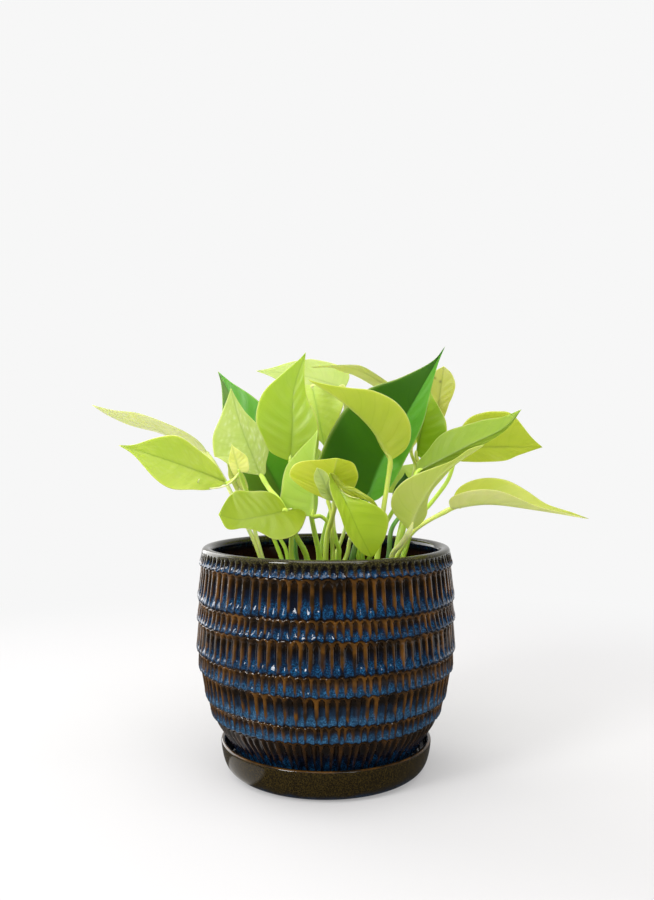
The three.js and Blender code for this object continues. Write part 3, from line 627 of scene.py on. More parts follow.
def make_saucer(context):
    """Shallow dish: its profile turned round Z, with the slight wander of a thrown rim.

    Its glaze breaks to amber on the rim, and pools inside and low on the wall, more so on the right.
    """
    look = context.scene.pothos_saucer
    profile = flow(SAUCER, 66)
    wander = 0.25 * round_lumps(full_turn(SAUCER_COLUMNS), 1.3, SEED) * smooth(0, 8, profile[:, 1:])
    points, faces = turned(profile, SAUCER_COLUMNS, wander)
    radius, z = np.hypot(points[:, 0], points[:, 1]), points[:, 2]
    row = np.r_[np.repeat(np.arange(len(profile)), SAUCER_COLUMNS), 0, len(profile) - 1]
    edge = bell(z, 20.9, 0.5) * smooth(70.3, 71.2, radius)
    inside = (1 - smooth(69.8, 70.9, radius)) * (row > profile[:, 1].argmax())
    run = 6.5 + 4 * smooth(-10, 60, points[:, 0])
    low = (1 - smooth(1.0, run, z + 1.4 * lumps(points, 14, SEED + 2))) * smooth(60, 64, radius)
    pool = np.clip(0.8 * inside + 0.8 * low, 0, 1)
    wall = np.clip(1 - inside - low, 0, 1) * (1 - edge)
    skin = {"points": points, "faces": faces, "glaze": np.stack([edge, pool, wall], -1)}
    material = glaze_material("olive celadon glaze on stoneware", look)
    put_piece("saucer_dish", skin, material, "saucer")


def soil_height(reach):
    """Height of the soil without its lumps: highest in the middle, falling as the square of the reach."""
    return SOIL_TOP - SOIL_FALL * (reach / SOIL_REACH) ** 2


def soil_bed():
    """The soil itself: a disc that follows the pot's wall, with lumps of three sizes on its top."""
    reach = np.linspace(0.6, SOIL_REACH, 70)
    floor = [[50, SOIL_FLOOR], [0.6, SOIL_FLOOR]]
    points, faces = turned(np.vstack([np.stack([reach, soil_height(reach)], -1), SOIL_WALL, floor]), 200)
    flat = points[:, :2]
    inner = 1 - smooth(76, 80.5, np.linalg.norm(flat, axis=1))
    rough = 0.8 * lumps(flat, 13, SEED) + 0.5 * lumps(flat, 5.5, SEED + 1) + 0.3 * lumps(flat, 2.6, SEED + 2)
    points[:, 2] += np.where(points[:, 2] > 125, rough * inner - 1.2 * (1 - inner), 0)
    return {"points": points, "faces": faces, "bits": np.zeros((len(points), 3))}


def small_ball():
    """A ball of 20 triangles on the corners of three golden rectangles."""
    g = (1 + 5 ** 0.5) / 2
    corners = [(-1, g, 0), (1, g, 0), (-1, -g, 0), (1, -g, 0), (0, -1, g), (0, 1, g), (0, -1, -g), (0, 1, -g),
               (g, 0, -1), (g, 0, 1), (-g, 0, -1), (-g, 0, 1)]
    faces = [(0, 11, 5), (0, 5, 1), (0, 1, 7), (0, 7, 10), (0, 10, 11), (1, 5, 9), (5, 11, 4), (11, 10, 2),
             (10, 7, 6), (7, 1, 8), (3, 9, 4), (3, 4, 2), (3, 2, 6), (3, 6, 8), (3, 8, 9), (4, 9, 5),
             (2, 4, 11), (6, 2, 10), (8, 6, 7), (9, 8, 1)]
    return unit(np.array(corners, float)), np.array(faces)


def soil_crumb(rng):
    """One loose bit, a dented ball drawn out to its own shape.

    Three in four are small crumbs of peat, one in seven is a chip of bark and one in 25 perlite.
    """
    ball, faces = small_ball()
    far = CRUMB_REACH * rng.uniform(0, 1) ** 0.5
    turn = rng.uniform(0, 6.28)
    kind = rng.uniform()
    is_bark, is_perlite = kind > 0.86, 0.75 < kind < 0.79
    size = rng.uniform(0.8, 2.2) if kind < 0.75 else rng.uniform(1.8, 3.4)
    shape = np.array([1, rng.uniform(0.6, 1), rng.uniform(0.4, 0.8)]) * size
    if is_bark:
        shape = np.array([rng.uniform(3, 6), rng.uniform(1.2, 2), 0.7])
    axes = np.linalg.qr(rng.normal(size=(3, 3)) + 2 * np.eye(3))[0]
    points = (ball * (1 + 0.16 * rng.normal(size=(len(ball), 1))) * shape) @ axes.T
    points += [far * np.sin(turn), far * np.cos(turn), soil_height(far) + 0.5 * size]
    bits = [0, 1, 0] if is_perlite else [1 if is_bark else 0.35, 0, 0]
    return {"points": points, "faces": faces, "bits": np.tile(bits, (len(ball), 1))}


def make_soil(context):
    """Moist potting mix with loose crumbs on it."""
    look = context.scene.pothos_soil
    rng = np.random.default_rng(SEED + 5)
    skin = fused([soil_bed()] + [soil_crumb(rng) for _ in range(look.crumbs)])
    put_piece("soil_surface", skin, soil_material("peat and bark potting mix", look), "soil")


def soil_material(name, look):
    """Peat, coir and bark: nearly black when moist, dull, with paler bits of bark and some of perlite.

    The attribute "bits" holds how much a place is bark and perlite.
    """
    material, add = new_material(name)
    place = add("TexCoord", out="Object")
    bits = add("Attribute", out="Color", attribute_name="bits")
    bark, perlite, _ = add("SeparateColor", {0: bits}).node.outputs
    # Fibres and grains of 1 to 3 mm.
    grain = add("TexNoise", {0: place, "Scale": 420, "Detail": 5, "Roughness": 0.7})
    tone = add("MapRange", {0: grain, 1: 0.35, 2: 0.7})
    colour = add("Mix", {0: tone, 6: look.dark, 7: look.light}, **COLOURS)
    colour = add("Mix", {0: bark, 6: colour, 7: look.bark}, **COLOURS)
    colour = add("Mix", {0: perlite, 6: colour, 7: look.perlite}, **COLOURS)
    skin = add("Bump", {"Strength": 0.8, "Distance": 0.0006, "Height": grain})
    surface = add("BsdfPrincipled", {"Base Color": colour, "Roughness": 0.93, "Normal": skin})
    add("OutputMaterial", {0: surface})
    return material


def blade_frame(leaf):
    """Base of a blade, the way to its tip, and its upper side square to that."""
    base, tip, up = (np.array(v, float) for v in (leaf["rib"][0], leaf["rib"][-1], leaf["up"]))
    a = unit(tip - base)
    return base, a, unit(up - up.dot(a) * a)


def rib_at(leaf, x):
    """Points and directions of the midrib at shares x of its length. Before 0 it runs straight back.

    The bow lifts the curve through the midrib's points by bow * 4 s (1 - s) at share s.
    """
    path = flow(leaf["rib"], 241)
    s = np.linspace(0, 1, len(path))[:, None]
    path = path + blade_frame(leaf)[2] * leaf["bow"] * 4 * s * (1 - s)
    far = np.r_[0, np.cumsum(np.linalg.norm(np.diff(path, axis=0), axis=1))]
    way = unit(np.gradient(path, axis=0))
    at = np.clip(x, 0, 1) * far[-1]
    point, head = (np.stack([np.interp(at, far, line[:, k]) for k in range(3)], -1) for line in (path, way))
    head = unit(head)
    return point + head * (np.minimum(x, 0) * far[-1])[..., None], head


def by_half(right, pair):
    """The first of a pair on the left half of a blade and the second on its right half."""
    return np.where(right, pair[1], pair[0])


def blade_margin(leaf, q, right):
    """Margin of one half at q, from the notch round the lobe (0) to the tip (1).

    Gives the share of the length, q^1.2 less the lobe's sine, and the half width, a smooth curve through
    the leaf's widths.
    """
    x = q ** 1.2 - by_half(right, leaf["lobe"]) * np.sin(np.pi * np.minimum(1, q / 0.45))
    wide = []
    for half in leaf["half"]:
        form = [0, *half, 0] if isinstance(half, list) else [half * share for share in PLAIN_BLADE]
        curve = flow(np.column_stack([WIDTH_AT, form]), 141)
        wide.append(np.interp(q, curve[:, 0], curve[:, 1]))
    return x, by_half(right, wide)


def blade_at(leaf, q, t):
    """Middle surface of a blade. t runs from the left margin (-1) over the midrib (0) to the right one (1).

    Rows of equal q run as the side veins do, from the midrib forward to the margin. Across the midrib the
    blade is level with its upper side, turned by the twist, and each half is bent up by its fold.
    """
    q, t = np.broadcast_arrays(q, t)
    right, tau = t >= 0, np.abs(t)
    side = np.where(right, 1.0, -1.0)[..., None]
    xm, ym = blade_margin(leaf, q, right)
    rib = q ** 1.2 - 0.1 * np.sin(np.pi * q)
    x = rib + (xm - rib) * tau
    y = (ym * tau)[..., None]
    point, tangent = rib_at(leaf, x)
    n = blade_frame(leaf)[2]
    lift = unit(n - tangent * (tangent @ n)[..., None])
    across = np.cross(lift, tangent)
    start, end = leaf["twist"]
    turn = np.radians(start + (end - start) * np.clip(x, 0, 1))[..., None]
    lift, across = lift * np.cos(turn) + across * np.sin(turn), across * np.cos(turn) - lift * np.sin(turn)
    fold, lap, curl = (by_half(right, leaf[key]) for key in ("fold", "lap", "curl"))
    bend = np.radians(fold + lap * (1 - q) ** 2 + 0.5 * curl * tau)[..., None]
    return point - across * side * y * np.cos(bend) + lift * y * np.sin(bend)


def half_tones(tone, right):
    """Linear colour of one face: one tone, or a left and a right one that paint its halves lit and shaded."""
    pair = tone if isinstance(tone, tuple) else (tone, tone)
    return by_half(right, [np.array(linear(TONES[name])[:3]) for name in pair])


def blade_normal(leaf, q, t):
    """Normal of the middle surface, from points a little further along and across."""
    near, beside = 0.004, 0.04
    along = blade_at(leaf, np.minimum(q + near, 1), t) - blade_at(leaf, np.maximum(q - near, 0), t)
    across = blade_at(leaf, q, np.minimum(t + beside, 1)) - blade_at(leaf, q, np.maximum(t - beside, -1))
    return unit(np.cross(across, along))


def blade_skin(leaf, look, seed):
    """Closed skin of a blade with its relief.

    Thickness falls to nothing in a round margin. The midrib stands out below as a keel that thins towards
    the tip and is a groove above. The sheet swells between the side veins, and its margin waves a little.
    """
    rng = np.random.default_rng(seed)
    s = np.linspace(-1, 1, 2 * BLADE_HALF + 1)
    t = np.sign(s) * (1 - (1 - np.abs(s) ** 1.35) ** 1.5)
    t = np.r_[t[:-1], t[:0:-1]][None]
    is_upper = (np.arange(4 * BLADE_HALF) < 2 * BLADE_HALF)[None]
    q = (np.arange(1, BLADE_ROWS) / BLADE_ROWS)[:, None]
    tau, right = np.abs(t), t >= 0
    wide = blade_margin(leaf, q, right)[1] * tau
    rib = look.rib / MM * (1 - 0.85 * q)
    keel = rib * bell(wide, 0, 0.8 * rib + 0.35)
    groove = 0.22 * (1 - q) * bell(wide, 0, 0.6)
    plate = look.thickness / MM / 2 * np.sqrt(1 - tau ** 14)
    veins = (q - VEIN_SLANT * tau ** VEIN_BEND) * VEIN_PAIRS
    quilt = -look.quilt / MM * np.cos(TURN * veins) * np.sin(np.pi * tau) * np.sin(np.pi * q)
    phase = by_half(right, rng.uniform(0, 6.28, 2)[::-1])
    ripple = look.wave / MM * tau ** 2 * np.sin(TURN * MARGIN_WAVES * q + phase) * np.sin(np.pi * q)
    out = np.where(is_upper, plate - groove, -plate - keel) + quilt + ripple
    rings = blade_at(leaf, q, t) + blade_normal(leaf, q, t) * out[..., None]
    points, faces = closed_skin(rings, *blade_at(leaf, np.array([0.0, 1.0]), np.zeros(2)))
    upper, lower = (half_tones(tone, right[..., None]) for tone in leaf["tones"])
    # fade darkens the base or the tip of a blade with painted shade.
    start, end = leaf["fade"]
    tint = np.where(is_upper[..., None], upper, lower) * (start + (end - start) * q[..., None])
    chart = np.stack(np.broadcast_arrays(24 * q, 9 * t), -1)
    # Pale streaks of painted sheen: painted highlights where the wax would catch the light.
    painted_sheen = leaf["painted_sheen"] * smooth(0.1, 1.5, lumps(chart, 1.7, seed)) * np.sin(np.pi * tau ** 0.7)
    tint = tint + (1 - tint) * painted_sheen[..., None]
    for at_t, at_q in leaf["spots"]:
        away = np.linalg.norm(rings - blade_at(leaf, np.array([at_q]), np.array([at_t]))[0], axis=-1)
        tint = tint * (1 - 0.6 * bell(away, 0, 1.1))[..., None]
    midrib, margin = bell(wide, 0, 0.35 + 0.55 * (1 - q)), smooth(0.94, 1, tau)
    marks = np.stack(np.broadcast_arrays(midrib, margin, is_upper), -1)
    uv = np.stack(np.broadcast_arrays((t + 1) / 2, q), -1)
    return {
        "points": points, "faces": faces, "uv": capped(uv, [0.5, 0], [0.5, 1]),
        "tint": capped(tint, tint[0, 0], tint[-1, 0]), "marks": capped(marks, [1, 0, 1], [0, 1, 1]),
    }


def stalk_skin(leaf, root, shade):
    """Closed skin of a stalk: a round section, grooved on its upper side, carried along the stalk's route.

    It is widest where its sheath grips the stem, swells a little below the blade, and runs out under the
    blade as the start of the midrib.
    """
    base, _, n = blade_frame(leaf)
    inner = blade_at(leaf, np.array([0.2]), np.zeros(1))[0]
    stem = [*root, SOIL_TOP - 4]
    route = [stem, *leaf["via"], base - 0.35 * leaf["stalk"] * n, inner - 0.9 * n]
    path = flow(route, 52)
    plane = np.linalg.svd(path - path.mean(0))[2][2]
    level = unit(np.cross(np.gradient(path, axis=0), plane))
    if (level @ n).sum() < 0:
        level = -level
    s = np.linspace(0, 1, len(path))[:, None]
    joint = (len(route) - 2) / (len(route) - 1)
    wide = leaf["stalk"] * (1.1 - 0.2 * smooth(0, 0.6, s) + 0.14 * bell(s, joint - 0.06, 0.04))
    wide = wide * (1 - 0.68 * smooth(joint, 1, s))
    grooved = smooth(0.05, 0.3, s) * (1 - smooth(joint - 0.1, joint, s))
    rim = wide * (1 - 0.22 * bell(full_turn(12), np.pi, 0.6) * grooved)
    return tube_skin(path, level, rim, shade)


def tendril_skin(route, shade):
    """Closed skin of a thread some 1.3 mm thick that thins to half at its free end."""
    path = flow(route, 40)
    level = unit(np.cross(np.gradient(path, axis=0), [0, 1, 0]))
    rim = 0.65 * (1 - 0.5 * np.linspace(0, 1, len(path))[:, None]) * np.ones(8)
    return tube_skin(path, level, rim, shade)


def tube_skin(path, level, rim, shade):
    """Closed skin of a tube along a path.

    At each point a ring stands square to the path. rim holds its radius there (row) and at each turn
    (column), from straight below the path's level side round to it and back.
    """
    count, columns = rim.shape
    side = np.cross(level, unit(np.gradient(path, axis=0)))
    turn, s = full_turn(columns)[None], np.linspace(0, 1, count)[:, None]
    down, out = (rim * np.cos(turn))[..., None], (rim * np.sin(turn))[..., None]
    rings = path[:, None] - level[:, None] * down + side[:, None] * out
    points, faces = closed_skin(rings[1:-1], path[0], path[-1])
    turn, s = np.broadcast_arrays(turn, s[1:-1])
    low, high = (np.array(linear(code)[:3]) for code in shade)
    tint = low + (high - low) * smooth(0, 0.55, s)[..., None]
    return {
        "points": points, "faces": faces, "uv": capped(np.stack([turn / TURN, s], -1), [0.5, 0], [0.5, 1]),
        "tint": capped(tint, low, high), "marks": np.tile([0.0, 0.0, 1.0], (len(points), 1)),
    }


def blade_material(name, look):
    """Living leaf: a translucent sheet under a thin wax.

    The attribute "tint" holds the colour of each face, "marks" holds midrib, margin and upper face, and
    the UV map runs across (u) and along (v) the blade, so that the side veins follow its rows.
    """
    material, add = new_material(name)
    place = add("TexCoord", out="Object")
    chart = add("UVMap", uv_map="UVMap")
    tint = add("Attribute", out="Color", attribute_name="tint")
    marks = add("Attribute", out="Color", attribute_name="marks")
    midrib, margin, is_upper = add("SeparateColor", {0: marks}).node.outputs
    u, v, _ = add("SeparateXYZ", {0: chart}).node.outputs
    centred = add("Math", {0: u, 1: 2.0, 2: -1.0}, operation="MULTIPLY_ADD")
    tau = add("Math", {0: centred}, operation="ABSOLUTE")
    arc = add("Math", {0: tau, 1: VEIN_BEND}, operation="POWER")
    slant = add("Math", {0: arc, 1: -VEIN_SLANT, 2: v}, operation="MULTIPLY_ADD")
    # No two veins stand equally far apart: they wander by up to 2 mm over 30 mm.
    stray = add("TexNoise", {0: place, "Scale": 34, "Detail": 1})
    slant = add("Math", {0: stray, 1: 0.09, 2: slant}, operation="MULTIPLY_ADD")
    # Pairs of side veins, some 8 mm apart, and finer ones three times as close.
    lines = []
    for pairs, width, strength in ((VEIN_PAIRS, 0.07, 1.0), (3 * VEIN_PAIRS, 0.12, 0.35)):
        wave = add("Math", {0: slant, 1: pairs}, operation="MULTIPLY")
        wave = add("Math", {0: wave, 1: 0.5}, operation="PINGPONG")
        lines.append(add("MapRange", {0: wave, 1: 0.0, 2: width, 3: strength, 4: 0.0}))
    veins = add("Math", dict(enumerate(lines)), operation="MAXIMUM")
    clear = add("MapRange", {0: stray, 1: 0.4, 2: 0.6, 3: 0.15, 4: look.vein_strength})
    vein_share = add("Math", {0: veins, 1: clear}, operation="MULTIPLY")
    dark = add("Mix", {0: 1.0, 6: tint, 7: look.vein_shade}, **COLOURS, blend_type="MULTIPLY")
    colour = add("Mix", {0: vein_share, 6: tint, 7: dark}, **COLOURS)
    # Patches 20 mm wide of more or less green.
    patch = add("TexNoise", {0: place, "Scale": 48, "Detail": 2})
    patch = add("MapRange", {0: patch, 1: 0.3, 2: 0.7, 3: 0.0, 4: look.patch_strength})
    warm = add("Mix", {0: 1.0, 6: colour, 7: look.patch_shade}, **COLOURS, blend_type="MULTIPLY")
    colour = add("Mix", {0: patch, 6: colour, 7: warm}, **COLOURS)
    # The midrib is a pale keel below and a groove above that is darkened with painted shade, and the margin
    # is a little paler.
    groove = add("Mix", {0: 1.0, 6: tint, 7: look.groove_painted_shade}, **COLOURS, blend_type="MULTIPLY")
    rib = add("Mix", {0: is_upper, 6: look.rib_colour, 7: groove}, **COLOURS)
    share = add("Mix", {0: is_upper, 2: look.rib_strength, 3: 0.42})
    share = add("Math", {0: midrib, 1: share}, operation="MULTIPLY")
    colour = add("Mix", {0: share, 6: colour, 7: rib}, **COLOURS)
    edge = add("Math", {0: margin, 1: 0.2}, operation="MULTIPLY")
    colour = add("Mix", {0: edge, 6: colour, 7: look.rib_colour}, **COLOURS)
    # Cells of about 1 mm, which the wax follows.
    cells = add("TexNoise", {0: place, "Scale": 800, "Detail": 2})
    rough = add("MapRange", {0: is_upper, 3: look.under_roughness, 4: look.roughness})
    worn = add("MapRange", {0: cells, 1: 0.4, 2: 0.65, 3: -0.06, 4: 0.1})
    rough = add("Math", {0: rough, 1: worn}, operation="ADD")
    height = add("Math", {0: veins, 1: -0.6, 2: cells}, operation="MULTIPLY_ADD")
    skin = add("Bump", {"Strength": 0.15, "Distance": 0.0002, "Height": height})
    surface = add("BsdfPrincipled", {
        "Base Color": colour, "Roughness": rough, "IOR": 1.42, "Normal": skin,
        "Subsurface Weight": look.glow, "Subsurface Radius": (0.9, 1.0, 0.35), "Subsurface Scale": 0.0015,
    })
    add("OutputMaterial", {0: surface})
    return material


def stalk_material(name, look):
    """Smooth juicy stalk: pale fibres run along it under a thin wax."""
    material, add = new_material(name)
    tint = add("Attribute", out="Color", attribute_name="tint")
    chart = add("UVMap", uv_map="UVMap")
    # Fibres about 0.5 mm wide and several times as long.
    stretch = add("Mapping", {0: chart, "Scale": (22, 5, 1)})
    fibre = add("TexNoise", {0: stretch, "Scale": 1.0, "Detail": 2})
    share = add("MapRange", {0: fibre, 1: 0.35, 2: 0.7, 3: 0.0, 4: 0.25})
    colour = add("Mix", {0: share, 6: tint, 7: look.rib_colour}, **COLOURS)
    surface = add("BsdfPrincipled", {
        "Base Color": colour, "Roughness": 0.38, "IOR": 1.42,
        "Subsurface Weight": look.glow, "Subsurface Radius": (0.9, 1.0, 0.3), "Subsurface Scale": 0.0015,
    })
    add("OutputMaterial", {0: surface})
    return material


def make_shoots(context):
    """The blades and the stalks of every shoot, each a piece of its own, with the stem in the soil."""
    look = context.scene.pothos_leaves
    petiole = stalk_material("waxy petiole", look)
    blade = blade_material("waxy pothos blade", look)
    for number, shoot in enumerate(SHOOTS):
        leaves = [{**PLAIN_LEAF, **leaf} for leaf in shoot["leaves"]]
        blades = [blade_skin(leaf, look, SEED + 10 * number + k) for k, leaf in enumerate(leaves)]
        shade = STALK_SHADES[shoot["slot"]]
        stalks = [stalk_skin(leaf, shoot["root"], shade) for leaf in leaves if "stalk" in leaf]
        stalks += [tendril_skin(route, TENDRIL_SHADES) for route in shoot.get("tendrils", [])]
        for kind, skins, material in (("blades_", blades, blade), ("stalks_", stalks, petiole)):
            put_piece(kind + shoot["name"], fused(skins), material, "shoot_" + shoot["name"])


def make_world(look):
    """Pale studio that is brightest behind and above the object."""
    world = bpy.data.worlds.new("pale studio")
    world.use_nodes = True
    world.node_tree.nodes.clear()
    add = partial(add_node, world.node_tree)
    seen = add("LightPath", out="Is Camera Ray")
    mirrored = seen.node.outputs["Is Glossy Ray"]
    way = add("TexCoord", out="Generated")
    toward = add("VectorMath", {0: way, 1: look.room_way}, "Value", operation="DOT_PRODUCT")
    # The glaze mirrors a darker room before the pot than the one that lights the leaves.
    front = add("Mix", {0: mirrored, 2: look.front_light, 3: look.front_mirror})
    room = add("MapRange", {0: toward, 1: -0.15, 2: 0.95, 3: front, 4: look.back_light})
    shown = add("Mix", {0: seen, 2: room, 3: 1.0})
    sky = add("Background", {0: look.backdrop, 1: shown})
    add("OutputWorld", {0: sky})
    return world


def floor_material(look):
    """Lit acrylic table: it glows a little, which keeps the shadows soft, and fades into the backdrop."""
    material, add = new_material("matt acrylic table")
    place = add("TexCoord", out="Object")
    far = add("VectorMath", {0: place}, "Value", operation="LENGTH")
    fade = add("MapRange", {0: far, 1: 0.25, 2: 0.75}, interpolation_type="SMOOTHSTEP")
    # The glaze mirrors the table darker than it is, with one patch of window light left of the pot.
    mirrored = add("LightPath", out="Is Glossy Ray")
    shade = add("Mix", {0: mirrored, 6: look.floor, 7: look.floor_mirror}, **COLOURS)
    away = add("VectorMath", {0: place, 1: look.patch_place}, "Value", operation="DISTANCE")
    patch = add("MapRange", {
        0: away, 1: look.patch_reach, 2: look.patch_reach * 1.12, 3: look.patch_glow, 4: look.floor_glow,
    })
    glow = add("Mix", {0: mirrored, 2: look.floor_glow, 3: patch})
    paper = add("BsdfPrincipled", {
        "Base Color": shade, "Roughness": 0.9, "Specular IOR Level": 0.1,
        "Emission Color": shade, "Emission Strength": glow,
    })
    air = add("Emission", {0: look.backdrop, 1: 1.0})
    surface = add("MixShader", {0: fade, 1: paper, 2: air})
    add("OutputMaterial", {0: surface})
    return material


def add_floor(look):
    """Disc of rings that stand further and further apart, cut straight at the table's front edge."""
    rows, columns = 60, 96
    reach, angle = np.geomspace(0.05, 12, rows)[:, None], full_turn(columns)
    y = np.maximum(reach * np.cos(angle), -look.table_edge)
    rings = np.stack([reach * np.sin(angle), y, np.zeros((rows, columns))], -1)
    r, c = np.meshgrid(np.arange(rows - 1), np.arange(columns), indexing="ij")
    a, b = r * columns + c, r * columns + (c + 1) % columns
    quads = np.stack([a, a + columns, b + columns, b], -1).reshape(-1, 4).tolist()
    mesh = bpy.data.meshes.new("floor")
    mesh.from_pydata(rings.reshape(-1, 3).tolist(), [], quads + [list(range(columns))])
    mesh.materials.append(floor_material(look))
    floor = bpy.data.objects.new("floor", mesh)
    bpy.context.scene.collection.objects.link(floor)


def add_panel(name, place, size, power):
    """Soft light panel that faces the middle of the plant."""
    light = bpy.data.lights.new(name, "AREA")
    light.shape = "RECTANGLE"
    light.size, light.size_y = size
    light.energy = power
    lamp = bpy.data.objects.new(name, light)
    lamp.location = place
    lamp.rotation_mode = "QUATERNION"
    lamp.rotation_quaternion = (Vector(PLANT_MIDDLE) - Vector(place)).to_track_quat("-Z", "Y")
    bpy.context.scene.collection.objects.link(lamp)


def make_stage(context):
    """Pale floor that runs out into the backdrop, soft panels, and the level camera of the photograph."""
    look = context.scene.pothos_stage
    scene = context.scene
    scene.world = make_world(look)
    scene.view_settings.view_transform = "Standard"
    add_floor(look)
    for name in ("key", "side", "fill", "top"):
        add_panel(name + "_panel", *(getattr(look, f"{name}_{part}") for part in ("place", "size", "power")))
    lens = bpy.data.cameras.new("camera")
    lens.lens, lens.sensor_width, lens.sensor_fit = 34, 36, "AUTO"
    lens.clip_start, lens.clip_end = 0.01, 50
    camera = bpy.data.objects.new("camera", lens)
    camera.location = look.camera_place
    camera.rotation_euler = (np.pi / 2, 0, 0)
    scene.collection.objects.link(camera)
    scene.camera = camera


def size_of(name, text, default):
    """A length property in metres from a real size in millimetres."""
    return bpy.props.FloatProperty(
        name=name, description=text, default=default * MM, unit="LENGTH", precision=5)


def colour_of(name, text, code):
    """A colour property from an sRGB hex value."""
    return bpy.props.FloatVectorProperty(
        name=name, description=text, default=linear(code), size=4, subtype="COLOR", min=0, max=1)


def share_of(name, text, default):
    """A share from 0 to 1."""
    return bpy.props.FloatProperty(
        name=name, description=text, default=default, min=0, max=1, subtype="FACTOR")


def number_of(name, text, default):
    """A number from 0 up."""
    return bpy.props.FloatProperty(name=name, description=text, default=default, min=0)


def place_of(name, text, default, size=3):
    """A place or a size in metres."""
    return bpy.props.FloatVectorProperty(
        name=name, description=text, default=default, size=size, unit="LENGTH")


def count_of(name, text, default):
    """A whole number of like things."""
    return bpy.props.IntProperty(name=name, description=text, default=default, min=0)


class PothosPotSettings(bpy.types.PropertyGroup):
    """Sizes and glaze of the pot."""

    tall_flutes: count_of("Tall flutes", "Flutes round a tall tier", 84)
    short_flutes: count_of("Short flutes", "Flutes round a short tier", 104)
    flute_depth: size_of("Flute depth", "How deep a flute is cut", 1.9)
    flare: size_of("Tier flare", "How far a tier widens towards its bead", 1.5)
    scallop: size_of("Scallop", "How high the arches between two tiers rise", 1.3)
    gloss: share_of("Roughness", "Roughness of the fired glaze", 0.07)
    recess: colour_of("Recess", "Glaze in the deepest cuts", "0e0804")
    pool_dark: colour_of("Pool, dark", "Thick glaze between its crystals", "0b1b30")
    pool_light: colour_of("Pool, light", "Crystals in the thick glaze", "1e5c8a")
    milk: share_of("Milk", "How milky the pools under the belly are", 0.8)
    milk_dark: colour_of("Milk, dark", "Milky glaze between its crystals", "1f3a54")
    milk_light: colour_of("Milk, light", "Crystals in the milky glaze", "407499")
    clay: colour_of("Clay", "Clay of the inside, washed red brown", "3c2018")
    rib_dark: colour_of("Rib, dark", "Thin glaze over a rib, darker", "2f1f0a")
    rib_light: colour_of("Rib, light", "Thin glaze over a rib, lighter", "664214")
    rim_dark: colour_of("Rim, dark", "Glaze of the rim band, darker", "1a170a")
    rim_light: colour_of("Rim, light", "Glaze of the rim band, lighter", "4e4926")


class PothosSaucerSettings(bpy.types.PropertyGroup):
    """Glaze of the saucer."""

    gloss: share_of("Roughness", "Roughness of the fired glaze", 0.1)
    recess: colour_of("Body", "Glaze without pigment", "15140f")
    pool_dark: colour_of("Pool, dark", "Thick glaze between its crystals", "0a1626")
    pool_light: colour_of("Pool, light", "Crystals in the thick glaze", "234a6e")
    milk: share_of("Milk", "How milky the pools are", 0)
    milk_dark: colour_of("Milk, dark", "Milky glaze between its crystals", "22405c")
    milk_light: colour_of("Milk, light", "Crystals in the milky glaze", "4682ac")
    clay: colour_of("Clay", "Bare clay", "3c2018")
    rib_dark: colour_of("Edge, dark", "Glaze broken over the rim, darker", "2e2010")
    rib_light: colour_of("Edge, light", "Glaze broken over the rim, lighter", "6c4819")
    rim_dark: colour_of("Wall, dark", "Glaze of the wall, darker", "191203")
    rim_light: colour_of("Wall, light", "Glaze of the wall, lighter", "3e3210")


class PothosSoilSettings(bpy.types.PropertyGroup):
    """Colours and loose bits of the soil."""

    crumbs: count_of("Crumbs", "Loose bits on the soil", 520)
    dark: colour_of("Dark", "Moist peat", "120b07")
    light: colour_of("Light", "Dry peat", "3a281b")
    bark: colour_of("Bark", "Bits of bark", "5a3d26")
    perlite: colour_of("Perlite", "Grains of perlite", "cfcabf")


class PothosLeafSettings(bpy.types.PropertyGroup):
    """Sizes and looks of blades and stalks."""

    thickness: size_of("Thickness", "Thickness of a blade", 0.42)
    rib: size_of("Midrib", "How far the midrib stands out below the base of a blade", 1.0)
    quilt: size_of("Quilting", "Swelling between the side veins", 0.16)
    wave: size_of("Wave", "Waves of the margin", 0.8)
    roughness: share_of("Upper roughness", "Roughness of the upper face", 0.36)
    under_roughness: share_of("Lower roughness", "Roughness of the lower face", 0.5)
    glow: share_of("Glow", "Light scattered inside the leaf", 0.8)
    vein_strength: share_of("Veins", "How much the side veins show", 0.24)
    patch_strength: share_of("Patches", "How much the green varies", 0.5)
    rib_strength: share_of("Midrib tone", "How much the midrib shows", 0.28)
    vein_shade: colour_of("Vein shade", "What the side veins take from the leaf's colour", "d8e6b4")
    patch_shade: colour_of("Patch shade", "What the patches take from the leaf's colour", "e4f0b8")
    # The midrib's darker groove is painted shade.
    groove_painted_shade: colour_of("Groove shade", "What the midrib's groove takes from the leaf's colour", "c4d890")
    rib_colour: colour_of("Midrib", "Colour of midrib, margin and stalk fibres", "dbe39a")


